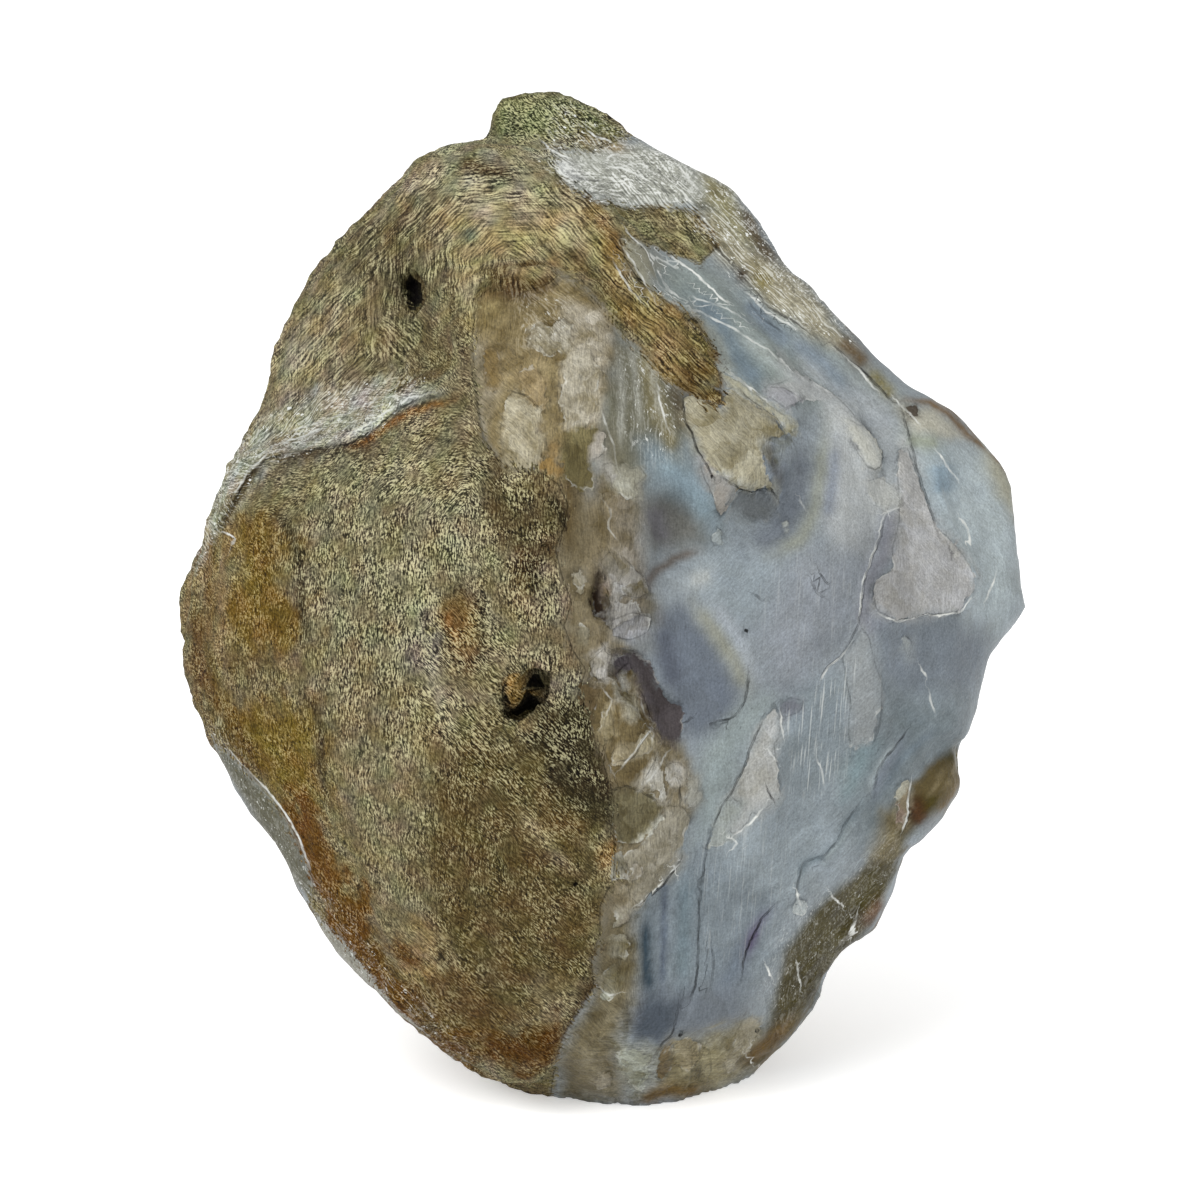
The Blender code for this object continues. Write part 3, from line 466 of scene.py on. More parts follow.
RIND_STROKES = drawings("""
brown crease: 86 68 46; 0.9; -14.5,44 -12,43.2 -8,42.4
second crease: 100 86 62; 0.6; -14,40.4 -10,39.8
teal spot: 104 116 98; 0.9; -13.2,37.2 -12.6,35.8
pale brow: 158 152 132; 1.2; -12.2,39.4 -10,37.6
pale brow upper: 150 142 116; 0.8; -15,38.8 -11,40.4 -7,40.4
dark arc: 108 94 62; 0.8; -4,36 -1,32.5 1.2,30
dark left arc: 104 92 64; 0.7; -15.4,33.8 -15,31 -14,27 -13,22
brown under the lip: 98 82 54; 0.9; -25,15.2 -22.8,15.4
dark lip: 92 86 66; 1; -33.8,13 -30,14.5 -25.5,15.4 -22.8,14.8
beige spot: 150 140 110; 0.9; -19.8,13.8 -18.2,12.8
orange line: 136 96 50; 0.35; -15.4,-1.2 -15,-2.8 -14.2,-4
dark smear: 74 62 38; 0.5; -21.4,-12.2 -21,-14.2
light diagonal: 128 118 88; 0.6; -8,-21.2 -5.5,-23.8 -3.2,-26.8
light stroke: 150 142 116; 0.8; -18,-4 -16,-10 -15,-14
dark right edge: 72 60 40; 0.6; -3.4,10 -3.2,7 -4,4.8
dark under the grain: 66 54 34; 1; 0,-13.5 1.2,-17 1.8,-20
brown line to the foot: 82 66 40; 0.7; -4,-44.5 -2.5,-41.5 -0.4,-37.5
left edge brown: 96 72 34; 1; -40.4,0 -40.2,-5 -38.8,-10
dark shoulder: 108 98 72; 1; -25.5,35 -20,37.5 -17,39.5
light shoulder: 150 142 118; 0.8; -22,38.5 -18,42 -15,44
pale of the left: 148 142 120; 1.2; -32.5,17 -31,23 -29,27
dark edge of the lip: 66 52 30; 0.4; -15.4,20.4 -17,19.8 -18.6,19.6 -20.2,18.8 -21.6,17.6 -22.8,16.7
    -24.2,15.9 -25.5,15.4 -27.8,15 -30,14.7 -31.6,14.4 -33.2,14
dark edge of the bulge: 74 62 40; 0.45; -33.2,14 -34.6,13 -35.4,11.6 -36.2,10.4 -37,9 -37.8,7.6 -38.6,6
pale lip: 178 178 164; 0.5; -16,21 -18,20.4 -20,19.6 -21.6,18.3 -23.4,17.2 -25.5,16.3 -28,15.8 -30.4,15.4
    -33.2,15
edge of the ochre: 66 58 36; 0.5; -33.8,9.4 -31.6,8 -30.6,6 -29.9,3 -30,0 -29.4,-3 -30.4,-5.5
left edge of the ochre: 112 88 46; 0.5; -38.4,6 -39.2,2.5 -38.8,-1 -39.6,-4
edge of the low ochre: 74 62 36; 0.5; -30,-9 -28.6,-10.6 -27.8,-13 -28,-17 -27,-21
rust under the lip: 134 90 38; 0.32; -25,15.3 -23,16.1 -21.2,17.5 -19,18.8 -16.8,19.5 -14.6,20
dark strokes of the corner: 52 44 24; 0.4; -5.2,10.6 -4,9 -3.4,7 -3.8,4.8
second dark stroke of the corner: 56 46 26; 0.35; -7.2,4 -6.4,2 -6.6,0
outline of the peach patch: 70 54 30; 0.3; -15.8,0.4 -14,1.4 -12,-0.4 -11.6,-4.6 -12.8,-6.8 -14.4,-6
    -15.6,-3.6
""")

# Raised flakes, and smaller chips with more ragged edges: a colour, how high, and the outline. Of the chips,
# the dark scoop and the dark patch under the ledge are painted shade in hollows; the brown pocket and the
# purple pocket are pits whose colour is their own brown and purple, darkened with painted shadow.
FLAKES = drawings("""
beige flake: 160 154 130; 0.45; 8.3,20.1 8.4,18.2 9.1,17 9.6,15.4 10.4,14 12.2,12.4 13.6,11.4 15,11
    16.5,11.3 17.3,10.7 17.7,9.9 17.4,11.4 16.6,12.6 16.4,14.2 16.2,15.4 16.9,16.2 18.6,16.4 17.9,17.6
    17.2,18.5 15.8,19.2 14.4,20.4 13.4,21.4 12.6,20.8 12.2,19.2 10.5,19.8 9.2,20.4
white streak: 172 175 174; 0.35; 17.6,24.8 20,22.6 22.2,21.4 23.4,20.6 25.2,18.8 27.2,16.4 28.3,14.4 28,12.9
    26.9,13.2 25.8,14.6 24.8,16.6 23.6,18.8 22.4,19.9 20.2,20 18.6,19.2 16.8,20.4 16.5,21.4 19,22
big flake: 171 171 169; 0.5; 29.7,13 30.3,16 31.2,14 32.2,11 33,8.8 33.9,7 35.2,5.9 36.3,4.5 37.5,2.5 37.3,1
    36.5,0 35.8,-1.2 34,-1.4 31.6,-1.6 29.7,-2.1 28.6,-1.4 27.7,-1.2 27.4,0 27.3,1.4 28.2,2.5 29.3,3 29.2,5
    29.8,7 30,9.5
tongue flake: 143 148 149; 0.4; 26.2,-2.8 27,-4 27.4,-6 28.1,-8 28.2,-10 27.8,-12 27.2,-14.2 26,-14.2
    25.3,-15.6 24.8,-13.8 25,-10 24.5,-7.2 24.3,-5.6 25.5,-4
long flake: 168 169 165; 0.4; 17.6,-10.5 18.1,-12.2 17.9,-13.8 17.4,-14.4 17.6,-15.8 18,-16.8 17.7,-18.4
    18.2,-19.7 17,-20.6 15.7,-21.5 15.2,-21.2 14.8,-22.1 14,-23 13.3,-23.4 12.8,-22.8 13.8,-21.6 14.4,-20.4
    13,-19.7 13.6,-18.6 14.2,-17.2 14.8,-16 15.4,-14 16.2,-12.2
small light triangle: 150 156 156; 0.2; 30.1,-3.4 31.2,-4 30.9,-5.9 30.4,-4.8
beige bank: 98 85 55; 0.35; 2.8,-6.2 3.4,-7.2 3.8,-8.8 4.5,-10 5.2,-12.2 6,-14.4 5.6,-16 4.8,-17.2 4,-18.8
    2,-19 1.1,-17 0.4,-14.8 -0.8,-13.8 -1,-12.2 -1,-10.6 -0.2,-9.2 0.6,-8.4 1.4,-7.4
tan bank: 140 134 116; 0.4; 4,-24.6 5.5,-22.6 6.6,-20.6 8,-20.6 9.2,-21.6 8.3,-24 8.1,-26.2 6.6,-28.1
    5.1,-29.5 3.8,-30.5 3,-29.6 2.5,-27.2 1.9,-25.8
pale chip on the slope: 132 128 118; 0.12; 0.1,3.8 0.9,4.8 2.2,4.4 4,2.6 5,1 4,0.2 2.2,0.4 1.2,-0.6 0.6,1.6
lower pale chip: 144 140 130; 0.35; -1.2,-6.4 0.4,-4.8 1.8,-5.6 1.6,-7.2 0.4,-8.2 -0.6,-7.6
shelf chip: 134 133 130; 0.12; 1,-2.2 3.2,-1.2 5.2,-1.8 4.8,-3.2 3,-4 1.4,-3.6
bright triangle: 154 150 143; 0.3; 9.9,14.2 11.2,13 12.4,12.2 13.7,11.4 12.8,9.8 12.1,8.2 11.5,9.6 10.9,11.4
    10.2,12.8
""")
CHIPS = drawings("""
bright chunk: 160 152 127; 0.08; -9.6,19.6 -9.2,20.2 -8.7,20.9 -7.9,20.6 -7.2,20.3 -6.7,19.5 -5.9,19 -6,17.6
    -5.7,16 -5.9,14.5 -5.9,13 -7,13.2 -8,12.7 -8.8,13.2 -9.4,13.4 -9.7,15 -10,16.4
right chunk: 158 151 131; 0.06; -3.8,23.8 -3.4,24.8 -2.9,25.6 -2,25 -1,25.2 -0.6,24 0.2,23 -0.3,21.4
    -0.1,19.8 -0.8,18.8 -1,17.6 -1.8,17.4 -2.5,16.9 -3.1,17.2 -3.7,16.6 -3.6,18.2 -4.1,20 -3.7,22
amber glass: 140 123 88; -0.15; -8.3,22.8 -6.8,23.4 -5.4,22 -5.4,19.2 -6.2,19.2 -7.6,20.4
amber foot: 130 105 60; -0.2; -6.2,13.8 -4.8,14.5 -3.8,13 -4,12 -6,12.2
olive pocket: 104 95 62; -0.3; -3.7,16.8 -3,17 -2.3,17.6 -1.4,17 -0.3,17.2 0.1,16 -0.7,15.2 -1,14.4
    -0.8,13.6 -1.2,13 -0.2,12.2 -0.8,11 -1.6,11.2 -2.4,10.7 -3,11.8 -3.8,12 -3.4,13.4 -4,14.5 -3.6,15.6
cream lip: 178 174 149; 0.25; 12.2,22.8 13.6,22 15,21 16.5,19.8 18,18.7 19.8,17.5 19.5,16.9 18.6,16.6
    17.8,18.1 16,19.4 14.4,20.6 13.4,21.4
lilac chips: 156 157 160; 0.2; 16.8,21.4 18.5,21.2 20.3,20 18.6,19 17.6,19.8 16.5,20.4
bright streak: 191 192 184; 0.2; 24.6,18.2 25.8,17.6 27.2,16.3 28.3,14.4 28,13 26.9,13.3 26,14.8 25,16.6
lumpy chips: 168 170 166; 0.2; 26.4,11.8 28,12.2 29.6,11.2 30.2,9.5 28.6,8.8 27.4,9.6
dark scoop: 114 119 121; -0.3; 13.4,11 15,10.8 16.5,11.2 17.4,10.4 17.7,9 16.6,7.9 14.6,8.3 13.5,9.4
brown pocket: 56 43 32; -0.8; -0.3,3 0.3,2.6 0.4,0.6 0.9,-0.2 0.5,-2 -0.5,-1.6 -0.9,0 -0.5,1.4
purple pocket: 82 76 77; -0.8; 1.4,-5.2 4.1,-5.5 5.1,-6.6 5.9,-8.6 6.9,-10.2 8.1,-10.6 8.3,-13.5 7.5,-14.6
    6,-14.2 5.4,-12.4 4.5,-10.9 3.8,-8.8 3.1,-6.7 2,-7.9 1.1,-7.4
olive pocket low: 110 103 77; -0.5; 1.1,-19 4,-18.9 5.5,-19.5 6.3,-20.8 5.6,-22.2 4.3,-23.8 2.6,-24.6
    1.5,-24 1.1,-21.5
pale chips low: 166 162 148; 0.2; 5.4,-15.6 6.2,-16.8 6.4,-18.4 6.8,-20 5.8,-20.6 6.2,-19.4 4.8,-18.6
    4,-19.1 3.6,-18.4 4.6,-16.8
pale bead: 164 158 146; 0.2; -1.4,16 -0.3,16.8 0.5,16.6 0.4,14.5 -0.8,14.1
second bead: 158 156 148; 0.2; 0,13.5 1.1,13.8 2.1,12.6 1.2,11.8
low chip: 150 144 128; 0.2; 1.4,-31 2.6,-30.6 2.8,-32 1.8,-32.8
frost chip: 190 192 188; 0.2; -4.8,44 -3.4,44.2 -2.2,43.2 -1.6,42.2 -2.8,41.6 -4,42
dark of the wedge: 84 76 66; -0.3; 30.4,19.3 31.6,19.4 31.8,18.4 30.8,18.2
rim chip: 140 128 104; 0.25; 29.7,-19 31,-18.6 31.1,-20.8 30.5,-22.8 29.8,-21.2
light wedge on the blue: 150 158 158; 0.15; 11.4,6.8 12.2,7 12.2,5.4 11.2,5.5
pale of the teal: 172 176 170; 0.2; 18.4,8.2 18.8,8 18.7,6.9 18.2,7.1
bubble: 176 176 172; 0.15; 34.9,5.6 35.5,5.6 35.6,5 35,4.9
second bubble: 178 178 174; 0.15; 35.3,4.7 35.8,4.7 35.8,4.2 35.3,4.2
grey pocket: 120 112 94; -0.25; -7,17.8 -5.9,18 -5.8,16 -6.8,15.9
cream chip of the window: 166 160 142; 0.08; -7,27 -6,27.8 -4.8,27.4 -4,28.2 -2.8,27.4 -3,26 -2.2,25
    -3.4,24.4 -4.4,25 -5.2,24.2 -6.2,25 -7.2,25.4
brown chip of the window: 118 100 62; -0.06; -11.8,24.8 -10.8,25.4 -10,24.4 -10.2,23 -9.6,22 -10.6,20.8
    -11.4,21.4 -11.6,22.8
pale chip at the window foot: 158 150 128; 0.08; -8.8,15.4 -8,16 -7.8,14.5 -7,14 -8,13.4 -8.8,14
amber chip: 132 110 70; -0.06; -5.2,15.4 -4.4,16 -4,14.8 -4.4,13.8 -5.2,14.2
grey chip above the arch foot: 150 148 132; 0.08; 1.2,13 2.2,13.8 3.2,13 4,13.4 4.6,12.4 3.6,11.4 4,10.4
    2.8,10 1.8,10.8 1,11.4
bank crystal: 160 156 138; 0.1; 2.4,-10 3.4,-9.4 4,-10.8 3.4,-12.2 2.4,-11.6
second bank crystal: 146 136 108; 0.1; 0.2,-11.2 1,-10.6 1.2,-12.2 1.6,-13.6 0.6,-14.2 -0.2,-13
third bank crystal: 150 142 118; 0.12; 2,-16.1 2.8,-15.4 4,-13.8 4.8,-13 5.7,-14.2 4.8,-15.3 3.4,-15.8
fourth bank crystal: 146 136 110; 0.1; 1.2,-15 2.4,-14.2 3.2,-15.4 2.2,-16.8 1.2,-16.4
pale crystal by the rind: 152 148 138; 0.12; 0.4,-4.6 1.4,-5 1,-6.2 0.8,-7.6 0,-8.2 -1,-7.2 -0.5,-6.4
    -1.1,-5.6
second pale crystal by the rind: 158 156 144; 0.1; 1.4,-7.6 2.2,-6.8 2.8,-8.4 2.6,-10.4 1.6,-10
grey crystal by the rind: 138 134 118; 0.1; 0.8,-25.8 2,-25.2 2.8,-26.6 2.2,-28.4 1,-28
low crystal: 152 148 130; 0.1; 1.2,-33.8 2.2,-33 3,-34.4 2.4,-36 1.2,-35.6
second low crystal: 140 136 116; 0.1; 0.4,-37.2 1.6,-36.6 2.2,-38 1.4,-39.6 0.4,-39
foot of the long flake: 151 157 153; 0.15; 12.4,-20 14.4,-20.3 13.8,-21.6 12.8,-22.8 13.2,-23.8 11.8,-24.6
    10.7,-24.7 11.2,-23
dark under the ledge: 112 115 122; -0.15; 18.1,-10.3 19,-9.7 20.3,-10.1 20.1,-11.1 19,-11.5 18.2,-11.9
pale wedge by the pocket: 139 137 130; 0.15; 1.2,1.8 2,1.6 3.1,1 2.4,0.3 1.8,-0.5 1.2,0
pink crystal: 150 138 126; 0.1; 0.2,1.8 1,2 1.1,0.6 0.6,0 0,1
lumps by the pocket: 130 127 119; 0.12; 0.7,-0.6 1.6,0 2.6,-0.4 3.6,0 4.2,-1 3.4,-2 2.2,-2.2 1.2,-3 0.5,-2.4
bead of the bank: 167 163 151; 0.2; 6.5,-16.8 7.2,-16.2 8.2,-16.4 8.8,-17.4 8.4,-18.7 7.2,-18.8 6.6,-17.9
tooth of the bank: 162 162 153; 0.15; 9,-18 9.8,-17.6 10,-18.6 9.6,-19.5 10.3,-18.8 10.2,-20.1 9.2,-20.8
    8.5,-20.2 8.6,-19
edge crystal of the bank: 171 169 153; 0.15; 3,-24.5 4,-23.2 5.2,-22 6,-20.8 6.3,-21.8 5.1,-23.5 4,-24.3
bead by the rind: 156 150 136; 0.15; 3,-26.6 3.8,-26.1 4.3,-27.2 3.4,-28.1 2.8,-27.7
low crystal by the rind: 158 154 136; 0.12; 1.6,-30.7 2.7,-30.9 2.5,-32.2 1.4,-32.7
teeth of the right rim: 168 175 175; 0.12; 19.5,-29.2 19.9,-29.1 20.2,-30.2 20.9,-31 20.6,-31.7 19.4,-31.4
    19,-30.8 19.6,-30.3
pale head of the wedge: 166 164 148; 0.15; 29.6,-18.8 30.2,-18.3 30.9,-18.2 30.7,-20 30,-20.4 29.5,-19.8
pink foot of the wedge: 146 128 112; 0.1; 29.7,-20.4 30.7,-20.1 30.6,-21.6 30.3,-22.7 29.7,-22
shell by the arch: 138 136 120; 0.08; 1.2,30 2.2,29.2 2.8,27.8 2,26.6 1.4,27.8
pale speck of the bank: 140 134 116; 0.08; -2.8,2.5 -2,3.2 -1.4,2 -1.8,0.4 -2.6,0.8
second pale speck of the bank: 136 130 110; 0.08; -2.6,-2.8 -1.6,-2.2 -1,-3.4 -1.8,-4.6
light wedge of the foot: 150 144 124; 0.1; 14.2,-42.2 15.1,-41.5 16.2,-42.2 16,-43.6 15.2,-44.1 14.9,-45.2
    13.8,-45.7 13.5,-47.1 12.8,-47.5 12.3,-46.4 13.2,-45 13.5,-43.6
brown wedge of the foot: 106 92 64; 0.1; 6,-45.3 6.8,-44.4 7.3,-45.6 6.9,-47.1 6.4,-48.5 5.7,-47.4
pale flake of the foot: 142 144 128; 0.08; 1.7,-45.2 3,-44.9 5.1,-45.6 4.8,-47.6 4.1,-49.3 3.2,-48.5
    2.6,-47.4 1.8,-46.6
beige chip of the foot: 136 126 98; 0.08; 7.4,-44.2 9,-43.8 10.2,-44.4 9.8,-46.2 8.6,-47.4 7.6,-46.4
grey speck of the glassy foot: 132 124 104; 0.08; -0.8,-48.2 0.2,-47.2 1.2,-47.4 1,-48.4 -0.2,-49
light speck of the glassy foot: 150 150 132; 0.08; 0.2,-39.2 1,-38.6 1.6,-39 1.2,-39.8 0.3,-40
brown shard of the bank: 92 78 52; 0.08; -3.4,-9 -1.6,-8.2 0,-9 -0.4,-10.4 -1.4,-12.4 -2.6,-11.2
""")

# Holes: how deep, and the outline. The shader paints their insides dark as painted shadow, black where they
# are deepest.
HOLES = drawings("""
crescent: 3.2; -7.7,-8 -7.1,-7.4 -5.5,-7.4 -5.4,-9 -6.4,-10 -7.3,-11 -8.4,-11.6 -9.3,-11.1 -8.4,-10.6
    -7.6,-9.8 -7.4,-9
branch: 1.6; -6.4,-9.8 -5.9,-10 -5.5,-11.1 -6,-11.2
speck below: 1.2; -9.1,-13.6 -8.5,-13.6 -8.5,-14.2 -9.1,-14.2
edge of the grain: 0.8; -9.7,-8 -9.3,-7.7 -9.3,-9 -8.9,-10.4 -9.3,-10.7 -9.7,-9.6
speck right: 0.8; -2.8,-28.1 -2.1,-28.3 -2,-29.1 -2.8,-28.9
speck above: 0.8; -5.6,5.6 -5,5.5 -5.1,4.9 -5.6,5
eye: 1.6; -19.5,32 -18.8,32.8 -17.9,32 -17.8,30 -18.6,28.4 -19.4,29.4
speck in the blue: 0.5; 14.3,-2.9 15,-2.9 15,-3.4 14.4,-3.3
foot speck: 0.5; 7.8,-43.2 8.4,-43.2 8.4,-43.8 7.8,-43.7
second foot speck: 0.5; 15.4,-42.8 16,-42.8 15.9,-43.4 15.5,-43.4
bead speck: 0.5; 10.9,12.6 11.4,12.5 11.3,11.8 10.9,12
""")

# Dark cracks and white seams: how strong, and the line. The ledge line, the arc line, the lip line and the
# flake foot shade among the cracks are painted shadow along steps.
CRACKS = drawings("""
long curve: 0.9; 14.9,-7 14.7,-8.8 14.4,-10.2 13.7,-11.4 12.8,-12 11.6,-12.1
loop: 0.9; 11.6,-12.1 11,-12.3 11.1,-12.8 11.9,-12.7
tick: 0.9; 8.5,-12.3 9.2,-11.7
scratch: 1; 22,2.7 22.7,1.6
second scratch: 0.6; 21.2,1.8 21.6,0.8 22.4,0.2
dash: 0.7; 15.5,0.5 16.3,0
chip line: 0.8; 8,-18.4 8,-20.8
black tick: 1; 16.7,-18.8 17.3,-20
foot crack: 0.8; 9.8,-28 9.9,-32 9.8,-35 9.6,-38.4 9,-40
flake foot line: 0.7; 11.2,-23.2 10.6,-25.2 10.2,-28.4 10,-30
foot ledge: 0.6; 11.2,-34.8 11.4,-36.5 11.1,-39
purple crack: 1; 17.6,-30.4 16,-32 15.3,-33.6 14.6,-35 14.2,-37.2
dark foot line: 0.8; 7.9,-40 7.6,-42 7.3,-43.4 6.2,-44.3 5.5,-45.6
foot band line: 0.6; 26.2,-20 24.6,-22.4 23.6,-24.5 22,-25.7 20.3,-26.2 19.8,-28.2 19.5,-30.2
ledge line: 0.8; 28.6,8.7 28.1,6.5 27.4,4.7 26.6,2.5 26.2,0 25.9,-2.5 24.8,-4.4 24.1,-5.7 22.6,-6.8 22,-8.1
flake left line: 1; 8.3,20 8.4,18.2 9.2,16.8 9.6,15.2 10.6,13.5 11.4,12.2
flake foot shade: 0.8; 12.2,12.3 13.8,11.3 15.2,10.9 17,11.2 17.9,10
rim line: 0.7; 13.4,33.8 14.8,31.8 17,29.2 20,27.5 22.2,25.8
rim line low: 0.9; 23.2,25.7 24.6,24.2 26.4,22.9 28.1,21 29.2,19.9
arc line: 0.7; 30,19.5 30.6,17.5 31.1,15.5 32,12.2 33.1,8.8 33.8,6.8
chunk edge: 0.7; -8.8,20.9 -7.2,20.4 -5.9,19
window foot: 0.7; -12,20.4 -12.2,18.6 -11.6,15.8
frost line: 0.9; -3.4,42.8 -1.8,42.1 0,41.9
second frost line: 0.6; -2.8,40.9 0.2,40.6
eye crack: 0.8; -18.6,28.4 -18.8,26.8 -18.5,25.4
grain branch: 0.9; -6,-10 -5.5,-11.1
flake under line: 0.6; 29.7,-2.1 31.5,-1.7 35.8,-1.3
edge of the tan bank: 0.9; 8.3,-25.8 6.6,-28.2 5.1,-29.6 3.6,-30.7
cream edge: 0.6; 13.6,21.4 15.8,19.1 17.6,17.9
light line: 0.5; 14.8,30 16.2,28.2 18.4,26.6
dark line by the spot: 0.8; 10,36.8 11.6,35.2 13.6,33.2
foot of the tongue: 0.5; 28.2,-9 28.1,-11.8 27.4,-14.2
lip line: 0.9; -15.2,20.7 -18.2,20.1 -20.5,18.9 -22.8,16.9 -25.5,15.5 -30,14.8 -33.2,14.2 -35,12.6
    -36.2,10.6 -37.8,7.8
bulge line: 0.6; -33.8,13 -34.4,10.8 -36,8
window left line: 0.5; -12.6,22 -12.2,19 -11.6,16 -10.4,14.2
vug line: 1; -9.2,-7.8 -9.7,-8.6 -9.8,-9.8 -9.4,-10.8 -8.6,-11.7 -7.6,-11.2 -6.8,-10.4
vug foot line: 0.8; -9.4,-11.2 -9.7,-12.4 -9.2,-13.5
bank crack: 0.7; 1.2,-19 2.6,-18.6 4,-19 5.6,-20 6.2,-21.2
second bank crack: 0.6; 0,-4 0.6,-5.2 1.8,-5.6
teal band crack: 0.8; 30.7,-13.1 29.9,-14.2 29,-15.2 28.2,-16.4 27.7,-17.4 27.4,-19
low band crack: 0.9; 25.7,-20.8 24.8,-22 24.2,-23.2 23.8,-24.1 22.9,-25 22,-26.2
rim lump line: 0.8; 30.9,-18.6 30.8,-20 30.9,-21.5 30.4,-22.9
light bank line: 0.7; 2,-16.2 3.4,-15.7 4.2,-14.2 5,-13.2
flake side line: 0.7; 16.2,-12.2 15.4,-13.8 14.8,-15.6 14.2,-17.2 13.2,-19.2 12,-20.8 11.3,-22.8
streak of the beige foot: 0.4; 9,-44 9.2,-46.2 9,-48.4
second streak of the beige foot: 0.4; 10,-44.4 10.1,-46.4 9.8,-48
third streak of the beige foot: 0.35; 10.8,-44.8 11.1,-46.8 10.8,-48.4
edge of the blue foot: 0.4; 5.5,-45.6 4.6,-47.2 4,-48.8
""")
# Among the seams, the ledge light, the low ledge light and the flake foot are painted highlights along
# edges.
SEAMS = drawings("""
channel line: 0.9; 5.5,33.8 6.2,32.1 7.1,30.9 8,30.2
crown line: 0.9; 2.5,37.1 3.8,35.7 5.6,34.3 7.6,33.2
long line: 0.9; 6.1,35 8.6,33.4 10.4,31.9 11.8,30.5 12.8,29.8
corner line: 0.8; 7.8,43.6 8.8,42.1 10,40.9
frost line: 1; -6,46 -4.6,44.8 -2.8,44.2
loop: 0.9; 0.6,44 1.4,44.6 2.8,44.3 3.2,43.6
loop foot: 0.9; 0.8,43.4 2.2,43.2 3.6,42.6 4.4,42.2
upper dash: 0.8; -1.2,46.9 0,46.2 1.2,45.8
ledge light: 0.6; 28.4,8.6 27.8,6.2 27,3.8 26.3,2 26.1,0 25.8,-2.2
ledge light low: 0.7; 25.2,-4.2 24.2,-5.7 22.8,-6.7 22.1,-8
flake foot: 1; 27.8,-1.3 29.7,-2.2 31.6,-1.7 34,-1.5 35.8,-1.3 37.1,0.2
white bar: 1; 28.4,8.8 30,9.3
right curve: 0.9; 36.1,8.2 36.8,7 37.1,4.8
right hook: 0.8; 39.6,3 39.3,1.5 38.6,0
tan bank edge: 0.8; 8.1,-26.1 6.5,-28.1 5,-29.4 3.6,-30.6
long flake side: 0.9; 18,-11.2 18.3,-13.5
white tick: 1; 16.9,-15.1 17.7,-16.1
long flake foot: 0.8; 16.6,-20.6 14.8,-22.5 13.4,-23.4
wedge line: 0.9; 29.7,19.9 30.6,19 32,17.6
pool line: 0.8; 33.8,14.8 34.8,13.2 35.8,12
arch line: 0.7; 5.6,22 6,20 6.6,17.5 7,16.8
flake top: 0.8; 13,22.8 15,21.2 16.8,19.8
upper rim light: 0.6; 14.4,31 16.8,28.7 20,26.9
lower rim light: 0.7; 23.8,24.8 25.8,23.2 27.6,21
channel second: 0.6; 8.6,30 9.4,28.4
line on the arch: 0.8; 2.4,35 3.6,33.2 5.5,30
second line on the arch: 0.7; 1.4,33.8 3,31 4,30
scoop tick: 0.7; 20,10 20.4,9.2
right speck line: 0.7; 32.1,-6.8 32.6,-7.6
side line: 0.6; 32.8,-9 33.4,-11.2
tooth: 0.9; 19.6,-29.2 20,-30.5
rim ticks: 0.9; 23.2,-29.5 24.2,-30.6
rim tick low: 0.9; 24.8,-33.8 25.6,-32
rim tick long: 0.8; 19.7,-36.2 20.1,-39
rim tick foot: 0.9; 14.6,-45.6 15.2,-46.4
sliver edge: 0.9; -37,-15 -35.2,-17 -33.6,-18.6 -32.2,-20.3 -30.8,-22.5 -29.8,-24.6 -29,-26.8
lip light: 0.7; -36.5,10.8 -35,13 -33.2,14.8
shield scallop: 0.5; 2,-17 3.4,-15.2 4.6,-13.6 5.5,-12.6
white lump: 0.9; 12.8,-23.8 13.8,-24.2 13.2,-25
rind chip: 0.9; 0.2,-39 0.8,-39.6 1.5,-39.4
left chip: 0.9; -37.5,6.8 -36.5,6.2 -36.8,5.5
lip seam: 0.8; -16.8,20.8 -19.2,20.1 -21.2,18.9 -23.2,17.5 -25.2,16.6
left lip seam: 0.8; -27,17.5 -30,16.2 -32.4,15.4 -34.4,14.4
upper lip seam: 0.6; -22,20.2 -25,18.8 -28.2,17.8 -31,16.8
bank seam: 0.3; 0.4,-9 1.2,-10 0.6,-11.6
second bank seam: 0.3; 4,-10 4.6,-11.6 5.6,-12.6 5.2,-14.2
third bank seam: 0.35; 4,-19 5.6,-17.2 6.8,-15.2
upper bank seam: 0.25; 0.4,10 1.2,8.8 0.8,7.2 1.8,6
wedge side: 1; 31.1,-18.2 30.8,-19.9 30.8,-21.5 30.3,-22.9
rim white line: 0.9; 25.8,-31.2 25.6,-32.4 25.2,-33.7
foot tick: 1; 16.7,-36.6 17.2,-37.8
second scratch line: 0.7; 21.7,-15.8 22.2,-17.2 22.4,-18.6
bank foot edge: 0.8; 4,-30.4 5.2,-29.3 6.6,-28 8,-26.2
thread of the upper channel: 0.6; 6.8,30 10,28.8 13.6,27 17,24.8 20,22.4
second thread of the upper channel: 0.5; 9,30.4 12,29.4 15.2,27.8
thread under the arch: 0.4; 0,19.2 1.2,16 1.8,13
""")

